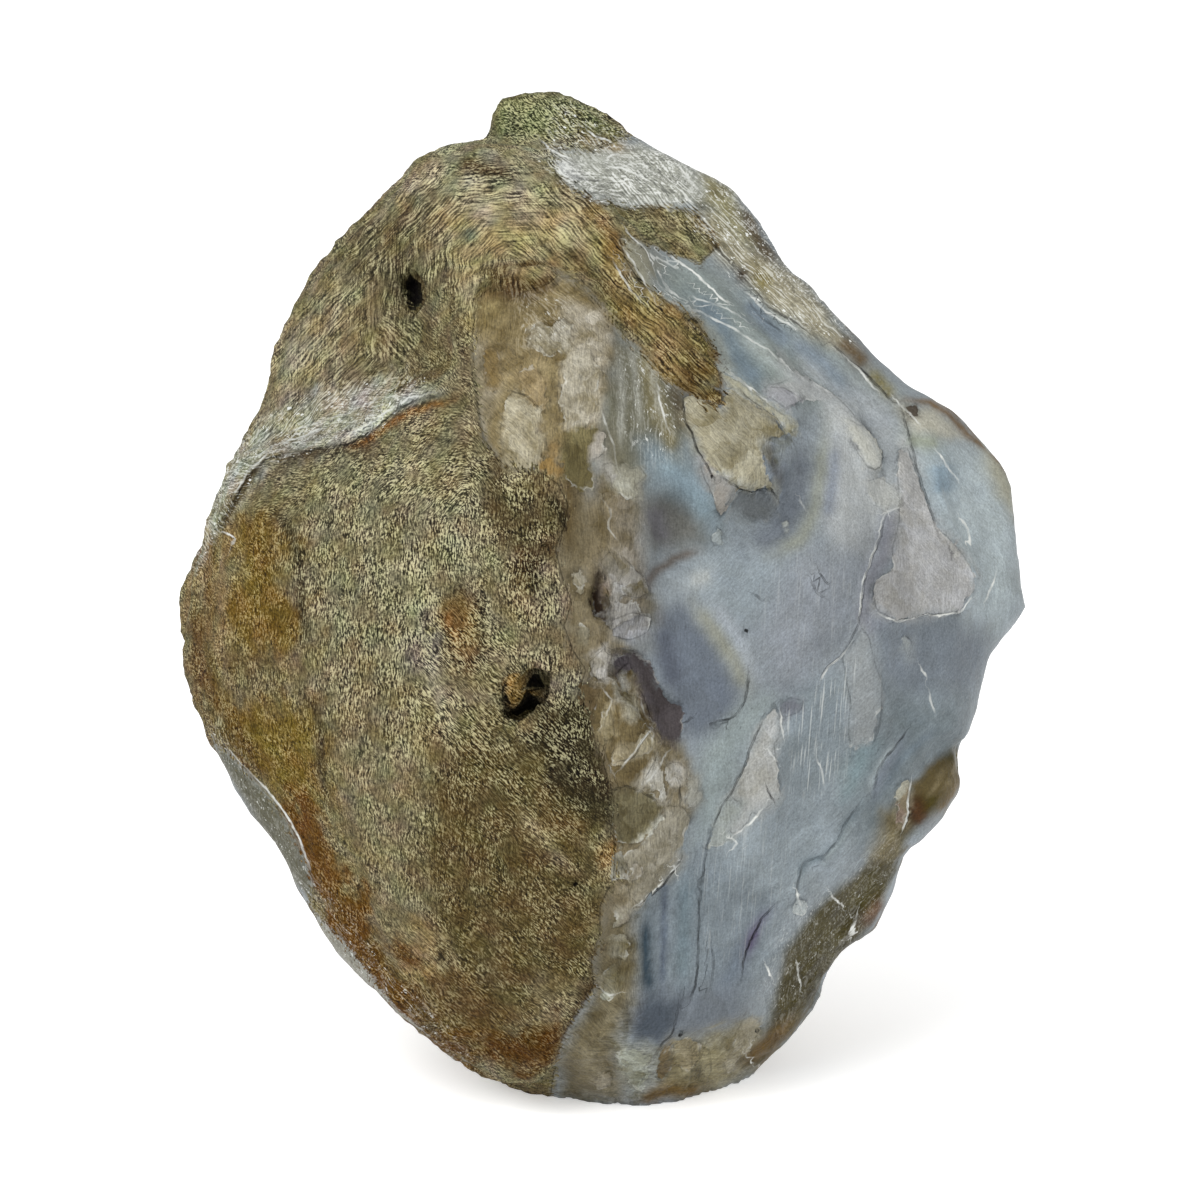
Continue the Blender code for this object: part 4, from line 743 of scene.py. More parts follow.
# Lines that the grain runs along
FLOW = drawings("""
outer arc: -20,37.8 -16.8,41 -12,42.2 -6,41.2 -1.8,38.6 1.2,35 5.2,30 11.2,22.8
left arc: -17,41 -19.8,34 -16,25 -13.4,20
inner arc: -13,31 -12.2,36.5 -9,38.6 -4.8,36.8 -1,31.5 4,25.5
brow: -30,31 -25,36.8 -20,41.8 -15,45
left shoulder: -33.8,19 -30.4,26.5 -26,34.5
knob: -10.8,50 -8,48.8 -4,46
knob right: -6,50.8 -2,49.4 2.2,46.4
crown: -16,44 -8,43 0,40.2 6,36.8 12,33.8
crown left: -10,46.5 -4,44 0,41
lip: -31,13 -24,14.8 -20,18.2 -14.5,20.2
upper shield: -25.5,10 -25,2 -24.8,-4
middle shield: -24.8,-5 -24.4,-16 -22.8,-28
diagonal: -13,-9 -8,-14 -4,-19 0.5,-26
lower diagonal: -18,-17 -15.5,-26 -11,-35 -4,-43
flank: -37.8,4 -35.5,-4 -36,-11 -32.5,-18 -28.2,-27
foot: -30,-23 -25.5,-31 -19,-39 -11,-45
right bank: -4,4 -2,-4 0.2,-12
arch strip: 0,33 4,28.2 8,24.4 11.6,20
rim top: 4,45 10,41 16,33 23,27
channel: 9,30 16,25 24,20 30,12
rim: 14,34 20,30 27,23 34,18 41,12
far right: 33,13 36,6 38.5,-2 36,-10
scoop side: 20,17 20,10 16,6
chip bank: 1,26 2,16 4,6 2,-4 4,-16 4,-25
plateau side: 25,17 24,4 17,-9 10,-26
lower blue: 14,-12 11,-25 9,-40
teal foot: 33,-10 26,-21 20,-30 15,-41
foot rim: 28,-28 22,-35 18,-43
foot middle: -4,-48 4,-48 10,-46
""")

# Ledges: how deep the lower side lies, how far the drop fades out, and the line, which drops on its right
LEDGES = drawings("""
middle ledge: 0.55; 2.5; 30,9.3 28.6,8.9 28.1,6.5 27.3,4.5 26.4,2 26.1,-0.2 25.8,-2.5 24.6,-4.6 24.1,-5.7
    22.6,-6.8 22,-8.1 20.5,-9.1 19,-9.1 18.2,-10
tan bank edge: 0.5; 2; 8.2,-25.9 6.6,-28.1 5.1,-29.5 3.6,-30.6
rim edge: -0.6; 2; 12,33.9 14.8,31.5 17,29.3 20,27.4 23.4,25.5 26.4,22.8 28.8,20.6
right arc: 0.6; 3; 30,19.5 30.6,17.5 31.1,15.5 32,12.2 33.1,8.8 33.8,6.8
foot crack: 0.25; 1.5; 9.8,-28 9.9,-32 9.8,-35 9.6,-38.4
foot step: -0.4; 2; 7.9,-40 7.6,-42 7.2,-43.5 5.6,-45.5
edge of the blue hollow: -0.3; 2.5; 9.2,0 11.6,-3.2 13.6,-6.2 14.8,-9.2
purple step: 0.35; 1.5; 17.6,-30.4 16,-32 15.3,-33.6 14.2,-37.2
lip: -0.4; 2; -34,13 -32,14.8 -30,15.1 -26.2,15.9 -23.6,16.4 -21.6,18 -19.6,19.8 -17,20.4
""")

# The windows broken in the rind of the far side, and the flakes on it
BACK_BARE = drawings("""
back window: -20,30 -8,34 3,28 9,18 6,6 -4,0 -16,3 -24,12 -25,22
low scar: 8,-8 20,-6 27,-14 22,-26 12,-30 4,-22
""")
BACK_FLAKES = drawings("""
upper flake: 172 172 168; 0.4; -17,27 -11,29 -7,24 -8,17 -11,13 -15,15 -18,20
side flake: 158 162 160; 0.35; -2,20 4,22 7,16 4,10 0,12
scar flake: 170 170 162; 0.4; 12,-11 18,-10 21,-15 18,-20 13,-18
""")

# What is bare of rind on the show side
BARE = drawings("""
broken side: -5,45.2 0,45.2 3,46.5 12,52 45,40 50,0 45,-14 36.5,-16 40,-30 20,-56 6,-60 -6,-58 -4.6,-47
    -4,-44.5 -3.4,-43 -2.4,-41.5 -1.5,-40 -0.6,-38.5 -0.9,-36 0,-33.5 0,-30.5 1.3,-28 1.5,-26 1.3,-22
    1.4,-20 0.4,-16.5 -0.6,-14 -1,-11.4 -2.2,-9.4 -1.4,-7 -2.6,-5.2 -3.6,-2.6 -2.8,-0.2 -3.8,2.4 -4.5,5.2
    -3.6,7.2 -3.2,9.6 -4.2,11.6 -5.6,12.6 -6.8,13 -8,13.2 -9.6,13.2 -10.6,14.5 -11.7,16 -12.2,19 -12.8,26
    -12.4,30 -11,31.2 -8,30.6 -5.2,31.6 -3.8,32.8 -1.4,31.2 0.6,29.4 1.4,27.6 2.4,26.4 4,25.4 5,24 6,22.4
    8,21.2 10,20 11.6,18.9 12.2,19.8 12,22.4 11.2,25.4 9.8,27.6 8,29 5.6,30.6 4,31.8 2.6,34 1.8,36.4
    4.6,35.8 7.6,34.6 10,33.8 11.8,35.3 10.6,37.6 9,38.9 6.4,39.3 2.6,39.1 -0.6,39.8 -2.6,41 -4.4,42.6
left sliver: -42,-14 -37.2,-15 -35.4,-17 -33.8,-18.6 -32.4,-20.2 -31.2,-22.2 -30,-24.2 -29.2,-26.2
    -28.6,-28.5 -29.2,-30.5 -36,-34 -44,-24
low sliver: -29,-31 -25.5,-34 -20,-41.2 -13,-47.8 -12,-52 -18,-52 -28,-42
""")

# How strongly each finish shows on the show side: white needles, cloudy quartz, bands and fine scratches.
# Each has a strength, how soft the edge is, and the outline.
NEEDLES = drawings("""
frost: 0.9; 1; -5.5,45 0,45.2 4,46 6.4,45.2 9.2,43.2 10.6,41.2 9.8,39.8 6.5,39.3 0.2,39.8 -2.5,41.2 -5,43.4
beside the frost: 0.45; 1.5; 9,43 12,43 18,36 26,26 20,27 14,32 8,39
lip band: 0.4; 1; -30,20 -26,21.5 -17,22.2 -21.5,17.5 -34,13.5 -40.5,3 -43,4 -38,15
crown: 0.35; 1.5; -4,50 2,47 5,45 0,43 -6,44
lower right rim: 0.1; 1; 18,-32 24,-28 30,-22 30,-27 26,-34 22,-38 18,-44 16,-39
beside the arch: 0.12; 1; 1.2,26 4.6,25 8,21 9,18 8,14 4,13 1.5,18
sparkles of the window: 0.11; 1; -9,31 -3,31 -3,26 -8,25
slivers: 0.12; 1; -38,-12 -28,-28 -12,-46 -14,-54 -34,-30 -44,-16
""")
CLOUDS = drawings("""
quartz window: 1; 1; -12.8,32 -8,34 -1.4,32 1.2,28 1.2,23 0,18 -1.5,13 -6,12.5 -12,16
chip banks: 0.9; 1; -0.5,12 4,12 4,5 6,-2 3,-5 5,-10 9,-17 9,-21 7,-27 3,-31 0,-30 1,-20 -1,-10 -1,0
smooth bank: 0.6; 1; -5,13 -1,12 0,4 0,-8 -3,-8 -4,0 -5,6
beige flake: 0.8; 0.8; 8,20 13,22 20,17 18,13 18,10 13,11 10,14
foot: 1; 1.5; -4,-42 4,-30 4,-44 8,-44 15,-42 16,-48 4,-53 -8,-52
rim: 0.6; 1; 9,39 12,43 18,36 26,26 20,27 12,34
big flake: 0.35; 1; 30,14 33,8 38,3 36,-2 27,-1 29,5
long flake: 0.3; 1; 18,-10 18,-18 11,-24 13,-18
lower right rim: 0.7; 1; 17,-40 24,-30 30,-20 32,-22 22,-44 16,-46
""")
BANDED = drawings("""
upper channel: 0.6; 1.5; 7,34 16,30 30,20 31,13 22,20 14,20 8,29
teal foot: 0.8; 2; 29,-9 36,-10 36,-16 31,-18 27,-27 18,-36 14,-40 10,-30 20,-22 25,-19 27,-14
foot stripes: 1; 1; 4,-30 9,-26 10,-40 8,-44 3,-40
scoop: 0.6; 1.5; 19,18 23,18 22,8 16,4 8,5 4,14 6,17 12,8 18,8
far right: 0.5; 1.5; 33,15 38,14 42,8 42,0 38,-2 36,4 33,8
""")
SCRATCHED = drawings("""
scratched flank: 1; 1.2; 18.6,-11 22.4,-8 25.8,-6 25,-10 25,-15.5 23,-20 19,-19 18.4,-14
lower blue: 0.35; 2; 9,-25 18,-20 20,-28 14,-36 10,-36
plateau: 0.25; 2; 15,3 20,5 26,4 26,-2 21,-8 16,-6
""")

# How much of the rind runs in long strands, how grainy it is, and how strong its lights and darks are
STRANDS = drawings("""
dome: 0.9; 2; -20,30 -20,42 -8,44 4,38 13,22 10,19 -2,30 -12,32
arch: 1; 1; -2,38 12,36 13,20 8,20 2,28
left band: 0.8; 3; -34,20 -30,34 -20,42 -16,30 -20,22
lower diagonal: 0.12; 3; -20,-14 -2,-16 0,-30 -8,-44 -20,-36
""")
GRAINY = drawings("""
shield top: 0.9; 2; -34,12 -20,18 -12,14 -5,13 -2,6 -6,-6 -24,-2
shield right: 0.7; 2; -10,0 -4,4 -1,-6 0,-20 -6,-16
ochre flank: 0.5; 1.5; -40,8 -32,8 -29,-4 -28,-22 -34,-18 -42,-4
""")
RIND_CONTRAST = drawings("""
knob: 2.4; 0.8; -11,46 -8,52 0,51 3,46.5 -4,45.5
crown: 0.8; 1.5; -17,47 -10,46.5 3,46 2,40 -8,41 -16,43
dome: 0.34; 2; -14,41 -4,40 3,32 -2,30 -12,33 -15,36
arch: 0.6; 1; -2,38 12,36 13,20 8,20 2,28
shield: 1.2; 2.5; -30,10 -18,18 -4,12 0,-10 0,-20 -14,-16 -26,-12
ochre flank: 0.5; 1.5; -40,8 -31,8 -29,-4 -28,-22 -34,-18 -42,-4
right bank: 0.25; 1.2; -5,12.5 -1,11 0,2 0.4,-8 -2,-9 -4,-2 -5,4
lip band: 0.15; 1; -30,20 -26,21.5 -17,22.2 -21.5,17.5 -34,13.5 -40.5,3 -43,4 -38,15
rust foot: 0.15; 1; -12,-44 -4,-42 -4,-47 -12,-47
brown foot: 0.45; 1.5; -30,-22 -14,-38 -4,-42 -6,-50 -20,-44 -32,-30
""")

# Where all that shows is lighter or darker. On the big flake's left and the beige flake's right, the
# darkening is painted shade beside the middle ledge and at the scoop's edge.
SHADES = drawings("""
left of the big flake: 0.78; 0.7; 29.8,9 31,6 30.6,2.5 32,0 31,-2 27,-1.6 26.4,1 28,4 29,6.5
right of the beige flake: 0.82; 0.8; 16.6,16.6 18.4,17 17.6,14 18,10 16.4,11
shield top: 1.07; 2; -32,11 -20,17 -12,13 -6,12 -6,6 -24,2
plateau top: 1.05; 1; 22.8,18.4 25,18.6 27.5,13 29.5,9 25.5,8 22.6,12
""")

# The bands of the chalcedony run along this line
BAND_LINE = [
    (9.0, 36.0), (22.0, 28.0), (33.0, 18.0), (37.0, 4.0), (35.0, -12.0), (28.0, -24.0), (18.0, -36.0),
    (12.0, -48.0)]

# The same finishes where nothing is drawn: on the show side, and on the far side
PLAIN_FINISH = (0.0, 0.0, 0.0, 0.0)
BACK_FINISH = (0.03, 0.4, 0.9, 0.0)
PLAIN_RIND = (0.0, 0.0, 0.62, 1.0)
BACK_RIND_FINISH = (0.12, 0.5, 0.62, 1.0)


def smooth_step(value, low, high):
    share = np.clip((value - low) / (high - low), 0.0, 1.0)
    return share * share * (3.0 - 2.0 * share)


def linear(colour):
    """A colour as it looks in the studio, from 0 to 255, as the share of light that is given back."""
    share = np.array(colour, float) / 255.0
    return np.where(share <= 0.04045, share / 12.92, ((share + 0.055) / 1.055) ** 2.4) / STUDIO_LIGHT


def to_segments(flat, line):
    """The distance from each point to each of the line's segments, the side it lies on, and where along."""
    start = np.array(line[:-1])
    run = np.array(line[1:]) - start
    away = flat[:, None, :] - start[None, :, :]
    share = np.clip((away * run).sum(axis=2) / (run * run).sum(axis=1), 0.0, 1.0)
    gap = np.linalg.norm(away - share[:, :, None] * run, axis=2)
    side = run[:, 0] * away[:, :, 1] - run[:, 1] * away[:, :, 0]
    return gap, side, share


def close_to(flat, line, reach):
    """Which points lie in the line's box widened by reach."""
    low = np.min(line, axis=0) - reach
    high = np.max(line, axis=0) + reach
    return np.flatnonzero(((flat > low) & (flat < high)).all(axis=1))


def near_line(flat, line, reach=REACH):
    """The signed distance from each point to an open line, more than 0 on its right, and its place on it."""
    gaps = np.full(len(flat), reach)
    places = np.zeros(len(flat))
    near = close_to(flat, line, reach)
    if len(near):
        gap, side, share = to_segments(flat[near], line)
        nearest = gap.argmin(axis=1)
        row = np.arange(len(near))
        sign = np.where(side[row, nearest] < 0, 1.0, -1.0)
        gaps[near] = sign * np.minimum(gap[row, nearest], reach)
        places[near] = (nearest + share[row, nearest]) / (len(line) - 1)
    return gaps, places


def inside_by(flat, outline, reach=REACH):
    """How far each point lies inside a closed outline, which is negative outside it."""
    depth = np.full(len(flat), -reach)
    near = close_to(flat, outline, reach)
    if len(near) == 0:
        return depth
    closed = outline + outline[:1]
    gap, _, _ = to_segments(flat[near], closed)
    x, y = flat[near].T
    inside = np.zeros(len(near), bool)
    for (x1, y1), (x2, y2) in zip(closed[:-1], closed[1:]):
        crosses = (y1 > y) != (y2 > y)
        inside ^= crosses & (x < (x2 - x1) * (y - y1) / ((y2 - y1) or 1.0) + x1)
    depth[near] = np.where(inside, 1.0, -1.0) * np.minimum(gap.min(axis=1), reach)
    return depth


def within(flat, outline, softness):
    """How much of each point is inside a closed outline, from 0 to 1 across its soft edge."""
    return smooth_step(inside_by(flat, outline), -softness, softness)


def whole(along, taper):
    """From 0 at either end of a line to 1 over most of it."""
    return smooth_step(along, 0.0, taper) * smooth_step(1 - along, 0.0, taper)


def fractal(points, spacing, seed):
    """Smooth noise from about -1 to 1 at each point, with its hills about spacing apart."""
    shift = seed * Vector(NOISE_SHIFT)
    layers = (NOISE_ROUGHNESS, NOISE_GAP, NOISE_LAYERS)
    return np.array([noise.fractal(Vector(point) / spacing + shift, *layers) for point in points])


def hills(points, spacing, height, seed):
    return height * fractal(points, spacing, seed)


def stepped(points, spacing):
    """A number from -1 to 1 at each point, the same all over each small cell, like broken facets."""
    cells = (noise.voronoi(Vector(point) / spacing)[1][0] for point in points)
    return np.array([noise.cell(cell * CELL_SPREAD) for cell in cells]) * 2.0 - 1.0


def to_show(places):
    """From metres in the stone's frame to millimetres to the right, up the show side, and out of it."""
    x, y, z = (places / MM - SHOW_ORIGIN).T
    lean, rise = math.cos(SHOW_TILT), math.sin(SHOW_TILT)
    return np.stack([x, y * rise + z * lean, z * rise - y * lean], axis=1)


def wandering(show, spacing, width, seed):
    """How far each point's place on a drawing is moved, so that what is drawn has a natural edge."""
    return np.stack([hills(show, spacing, width, seed), hills(show, spacing, width, seed + 1)], axis=1)


class Places:
    """Where the stone's points lie on its two drawings, and how far each drawing holds for them."""

    def __init__(self, mesh):
        count = len(mesh.vertices) * 3
        places = np.empty(count, np.float32)
        normals = np.empty(count, np.float32)
        mesh.vertices.foreach_get("co", places)
        mesh.vertex_normals.foreach_get("vector", normals)
        self.places = places.reshape(-1, 3).astype(float)
        self.normals = normals.reshape(-1, 3).astype(float)
        self.show = to_show(self.places)
        out = self.show[:, 2]
        near = CAMERA_DISTANCE / (CAMERA_DISTANCE - out)
        self.seen = self.show[:, :2] * near[:, None]
        self.facing = to_show(self.places + self.normals * MM) - self.show
        steep = 1 - smooth_step(np.abs(self.facing[:, 2]), *STEEP)
        self.seen += steep[:, None] * wandering(self.show, *STEEP_WANDER)
        self.behind = (self.show[:, :2] + wandering(self.show, *BACK_WANDER)) * (-1, 1)
        self.edge = out - BREAK_DEPTH - hills(self.show, *BREAK_WOBBLE)
        self.front = smooth_step(self.edge, -BREAK_BLEND, BREAK_BLEND)


def bare_depth(at):
    """How far each point lies inside the stone's broken places, in millimetres."""
    ahead = np.max([inside_by(at.seen, outline) for outline in BARE.values()], axis=0)
    ahead = np.minimum(ahead, at.edge)
    behind = np.max([inside_by(at.behind, outline) for outline in BACK_BARE.values()], axis=0)
    behind = np.minimum(behind, -at.show[:, 2])
    return np.maximum(ahead, behind)


def carve(mesh):
    """Sharpen the stone's ledges, flakes and pits, and roughen its rind."""
    at = Places(mesh)
    flat = at.seen + wandering(at.show, *CARVED_WANDER)
    move = np.zeros(len(flat))
    for _, height, outline in (FLAKES | CHIPS).values():
        move += height * within(flat, outline, CARVED_EDGE)
    for depth, outline in HOLES.values():
        move -= depth * within(flat, outline, CARVED_EDGE)
    for drop, fade, line in LEDGES.values():
        gap, along = near_line(flat, line)
        step = smooth_step(gap, -CARVED_EDGE, CARVED_EDGE)
        move -= drop * whole(along, LINE_TAPER) * step * np.exp(-np.maximum(gap, 0.0) / fade)
    move *= at.front
    for _, height, outline in BACK_FLAKES.values():
        move += (1 - at.front) * height * within(at.behind, outline, CARVED_EDGE)
    bare = smooth_step(bare_depth(at), -RIND_EDGE, RIND_EDGE)
    for lumps in RIND_LUMPS:
        move += (1 - bare) * hills(at.show, *lumps)
    move += bare * hills(at.show, *BREAK_WAVES)
    quartz = bare * weighed(flat, CLOUDS)
    move += quartz * hills(at.show, *QUARTZ_LUMPS)
    for spacing, height in QUARTZ_FACETS:
        move += quartz * height * stepped(at.show, spacing)
    at.places += at.normals * (move * MM)[:, None]
    low, high = CAD_BOX
    at.places = np.clip(at.places, low, high)
    foot = at.places[:, 2] < FOOT_HEIGHT * MM
    at.places[foot, 2] = 0.0
    mesh.vertices.foreach_set("co", at.places.astype(np.float32).ravel())
    mesh.update()


def dyed(colour, shade, share):
    """Lay a colour over each point's own, as strongly as its share says."""
    return colour + share[:, None] * (linear(shade) - colour)


def tinted(flat, sharp, base, tints, strokes):
    """A colour for each point: the base, with soft patches and strokes of other colours over it."""
    colour = np.tile(linear(base), (len(flat), 1))
    for shade, softness, outline in tints.values():
        place = flat if softness > SHARP_TINT else sharp
        colour = dyed(colour, shade, within(place, outline, softness))
    for shade, half_width, line in strokes.values():
        gap, along = near_line(sharp, line)
        strength = STROKE_END + (1 - STROKE_END) * whole(along, STROKE_TAPER)
        colour = dyed(colour, shade, strength * np.exp(-((gap / half_width) ** 2)))
    return colour


def mottled(points, shades, spacing, seed):
    """A colour for each point, which drifts among the shades."""
    colour = np.tile(linear(shades[0]), (len(points), 1))
    for number, shade in enumerate(shades[1:]):
        colour = dyed(colour, shade, smooth_step(fractal(points, spacing, seed + number), *SHADE_EDGE))
    return colour


def patched(flat, patches):
    """How far each point lies inside the nearest of the patches, and that patch's colour."""
    depth = np.full(len(flat), -REACH)
    colour = np.tile(linear(GLASS_COLOUR), (len(flat), 1))
    for shade, _, outline in patches.values():
        own = inside_by(flat, outline)
        nearer = own > depth
        depth[nearer] = own[nearer]
        colour[nearer] = linear(shade)
    return depth, colour


def lined(flat, lines):
    """The signed distance from each point to the nearest of the lines, and how strong that line is there."""
    gap = np.full(len(flat), REACH)
    here = np.zeros(len(flat))
    for strength, line in lines.values():
        own, along = near_line(flat, line)
        nearer = np.abs(own) < np.abs(gap)
        gap[nearer] = own[nearer]
        ends = LINE_END + (1 - LINE_END) * whole(along, LINE_TAPER)
        here[nearer] = (strength * ends * (np.abs(own) < LINE_REACH))[nearer]
    return gap, here


def weighed(flat, areas, plain=0.0):
    """How strongly something shows at each point: a plain strength, and areas of others with soft edges."""
    weight = np.full(len(flat), plain)
    for strength, softness, outline in areas.values():
        weight += within(flat, outline, softness) * (strength - weight)
    return weight


def grain_ways(at):
    """How much of each point's grain runs each of four ways: across, up to the right, up, and back."""
    double = np.zeros((len(at.seen), 2))
    for line in FLOW.values():
        gap, _, _ = to_segments(at.seen, line)
        run = np.diff(np.array(line), axis=0)
        turn = 2 * np.arctan2(run[:, 1], run[:, 0])
        weight = np.exp(-((gap / FLOW_REACH) ** 2)) + FLOW_FAR / (1 + gap ** 2)
        double += weight @ np.stack([np.cos(turn), np.sin(turn)], axis=1)
    angle = np.arctan2(double[:, 1], double[:, 0])
    angle = np.where(at.front > 0.5, angle, 2 * math.pi * fractal(at.show, *FREE_GRAIN))
    ways = np.empty((len(angle), WAYS))
    for number in range(WAYS):
        own = math.pi / WAYS * number
        across = np.array([-math.sin(own), math.cos(own), 0.0])
        edge_on = 1 - (at.facing @ across) ** 2
        along = np.clip(np.cos(angle - 2 * own), 0.0, 1.0) ** GRAIN_FOCUS
        ways[:, number] = (along + GRAIN_STRAY[0]) * edge_on ** 2 + GRAIN_STRAY[1]
    return ways / np.linalg.norm(ways, axis=1)[:, None]


def keep(mesh, name, values):
    """Store a number or a colour for each of the mesh's points under a name that its materials read."""
    if values.ndim == 1:
        layer = mesh.attributes.new(name, "FLOAT", "POINT")
        layer.data.foreach_set("value", values.astype(np.float32))
        return
    if values.shape[1] == 3:
        values = np.concatenate([values, np.ones((len(values), 1))], axis=1)
    layer = mesh.attributes.new(name, "FLOAT_COLOR", "POINT")
    layer.data.foreach_set("color", values.astype(np.float32).ravel())


def patch_depths(at, sharp):
    """How deep each point lies in the nearest flake and chip, and their colours, on both sides."""
    flake, flake_colour = patched(sharp, FLAKES)
    chip, chip_colour = patched(sharp, CHIPS)
    back, back_colour = patched(at.behind, BACK_FLAKES)
    flake = np.minimum(flake, at.edge)
    back = np.minimum(back, -at.edge)
    flake_colour = np.where((back > flake)[:, None], back_colour, flake_colour)
    return {
        "flake_depth": np.maximum(flake, back), "flake_tint": flake_colour,
        "chip_depth": np.minimum(chip, at.edge), "chip_tint": chip_colour}


def finishes(at, flat, areas, plain, behind):
    """Four strengths for each point: those drawn on the show side, and plain ones on the far side."""
    strengths = [
        weighed(place, drawn, start) * at.front + far * (1 - at.front)
        for place, drawn, start, far in zip(flat, areas, plain, behind)]
    return np.stack(strengths, axis=1)


def colour_stone(mesh):
    """Give each of the stone's points what its material needs to know."""
    at = Places(mesh)
    front = at.front[:, None]
    sharp = at.seen + wandering(at.show, *SHARP_WANDER)
    flat = at.seen + wandering(at.show, *SOFT_WANDER)
    loose = at.seen + sum(wandering(at.show, *wander) for wander in LOOSE_WANDERS)
    bare = bare_depth(at)
    rind = tinted(loose, sharp, RIND_COLOUR, RIND_TINTS, RIND_STROKES)
    rind = rind * front + mottled(at.show, BACK_RIND, *BACK_RIND_CLOUDS) * (1 - front)
    glass = tinted(flat, sharp, GLASS_COLOUR, GLASS_TINTS, GLASS_STROKES)
    border = BACK_BORDER_SHARE * (1 - smooth_step(bare, *BACK_BORDER_EDGE))
    back = dyed(mottled(at.show, BACK_GLASS, *BACK_GLASS_CLOUDS), BACK_BORDER, border)
    glass = glass * front + back * (1 - front)
    glass += (1 - smooth_step(bare, *GLASS_EDGE))[:, None] * (rind - glass)
    hole = np.max([inside_by(at.seen, outline) for _, outline in HOLES.values()], axis=0)
    bands, _ = near_line(at.seen, BAND_LINE, BAND_REACH)
    kept = {
        "bare_depth": bare, "rind_tint": rind, "glass_tint": glass, **patch_depths(at, sharp),
        "hole_depth": np.minimum(hole, at.edge), "band_depth": bands * at.front + bare * (1 - at.front),
        "finish": finishes(at, [flat] * 4, (NEEDLES, CLOUDS, BANDED, SCRATCHED), PLAIN_FINISH, BACK_FINISH),
        # The fourth of these is a gain for the colour, which is painted shade in two places
        "rind_finish": finishes(
            at, (loose, loose, loose, flat), (STRANDS, GRAINY, RIND_CONTRAST, SHADES), PLAIN_RIND,
            BACK_RIND_FINISH),
        "grain_ways": grain_ways(at)}
    for name, lines in (("crack", CRACKS), ("seam", SEAMS)):
        gap, here = lined(sharp, lines)
        kept[name + "_gap"] = gap
        kept[name + "_here"] = here * at.front
    for name, values in kept.items():
        keep(mesh, name, values)


def node(tree, kind, sockets=None, **settings):
    """Add a shader node, with some of its sockets wired or set."""
    made = tree.nodes.new("ShaderNode" + kind)
    for name, value in settings.items():
        setattr(made, name, value)
    for socket, value in (sockets or {}).items():
        if isinstance(value, bpy.types.NodeSocket):
            tree.links.new(value, made.inputs[socket])
        else:
            made.inputs[socket].default_value = value
    return made


def reckon(tree, operation, *values):
    return node(tree, "Math", dict(enumerate(values)), operation=operation).outputs[0]


def times(tree, value, *shares):
    """The value, scaled by each of the shares in turn."""
    for share in shares:
        value = reckon(tree, "MULTIPLY", value, share)
    return value


def plus(tree, value, share, base):
    """The base, and a share of the value on top."""
    return reckon(tree, "MULTIPLY_ADD", value, share, base)


def ease(tree, value, low, high):
    """From 0 where the value is low to 1 where it is high."""
    sockets = {"Value": value, "From Min": low, "From Max": high}
    return node(tree, "MapRange", sockets, interpolation_type="SMOOTHSTEP").outputs["Result"]


def spread(tree, value, low, high, new_low, new_high):
    """The value's range from low to high, moved to a new range."""
    sockets = {"Value": value, "From Min": low, "From Max": high, "To Min": new_low, "To Max": new_high}
    return node(tree, "MapRange", sockets).outputs["Result"]


def lay_over(tree, below, above, share):
    """One colour over another."""
    return node(tree, "Mix", {0: share, 6: below, 7: above}, data_type="RGBA").outputs[2]


def shaded(tree, colour, gain):
    """A colour, lighter or darker."""
    return node(tree, "VectorMath", {0: colour, "Scale": gain}, operation="SCALE").outputs[0]


def noisy(tree, place, scale, detail, output="Fac"):
    return node(tree, "TexNoise", {"Vector": place, "Scale": scale, "Detail": detail}).outputs[output]


def uneven(tree, place, scale, detail):
    """Noise about 0."""
    return reckon(tree, "SUBTRACT", noisy(tree, place, scale, detail), 0.5)


def vary(tree, operation, *values):
    return node(tree, "VectorMath", dict(enumerate(values)), operation=operation).outputs[0]


def measured(tree, place, way):
    """How far each place lies along a direction."""
    return node(tree, "VectorMath", {0: place, 1: way}, operation="DOT_PRODUCT").outputs["Value"]


def known(tree, name, output="Fac"):
    """What the stone's points know under that name."""
    return node(tree, "Attribute", attribute_name=name).outputs[output]


def new_group(name, takes, gives):
    tree = bpy.data.node_groups.new(name, "ShaderNodeTree")
    for side, sockets in (("INPUT", takes), ("OUTPUT", gives)):
        for label, kind in sockets.items():
            tree.interface.new_socket(label, in_out=side, socket_type="NodeSocket" + kind)
    return tree, tree.nodes.new("NodeGroupInput").outputs, tree.nodes.new("NodeGroupOutput").inputs


def give(tree, gives, values):
    for label, value in values.items():
        tree.links.new(value, gives[label])


def placed(tree, group, **sockets):
    made = tree.nodes.new("ShaderNodeGroup")
    made.node_tree = group
    for label, value in sockets.items():
        socket = label.replace("_", " ")
        if isinstance(value, bpy.types.NodeSocket):
            tree.links.new(value, made.inputs[socket])
        else:
            made.inputs[socket].default_value = value
    return made.outputs


def facets(tree, place, scale):
    """A number from -0.5 to 0.5 that is the same all over each small flat place."""
    sides = {0: measured(tree, place, (1.0, 0.0, 0.5)), 1: measured(tree, place, (0.0, 1.0, -0.4))}
    flat = node(tree, "CombineXYZ", sides).outputs[0]
    cells = node(tree, "TexVoronoi", {"Vector": flat, "Scale": scale}, voronoi_dimensions="2D")
    shade = node(tree, "SeparateColor", {0: cells.outputs["Color"]}).outputs[0]
    return reckon(tree, "SUBTRACT", shade, 0.5)


def moved(tree, place, waves, amount):
    """The place, moved a little by noise, so that what is drawn from it bends."""
    return vary(tree, "ADD", shaded(tree, waves, amount), place)


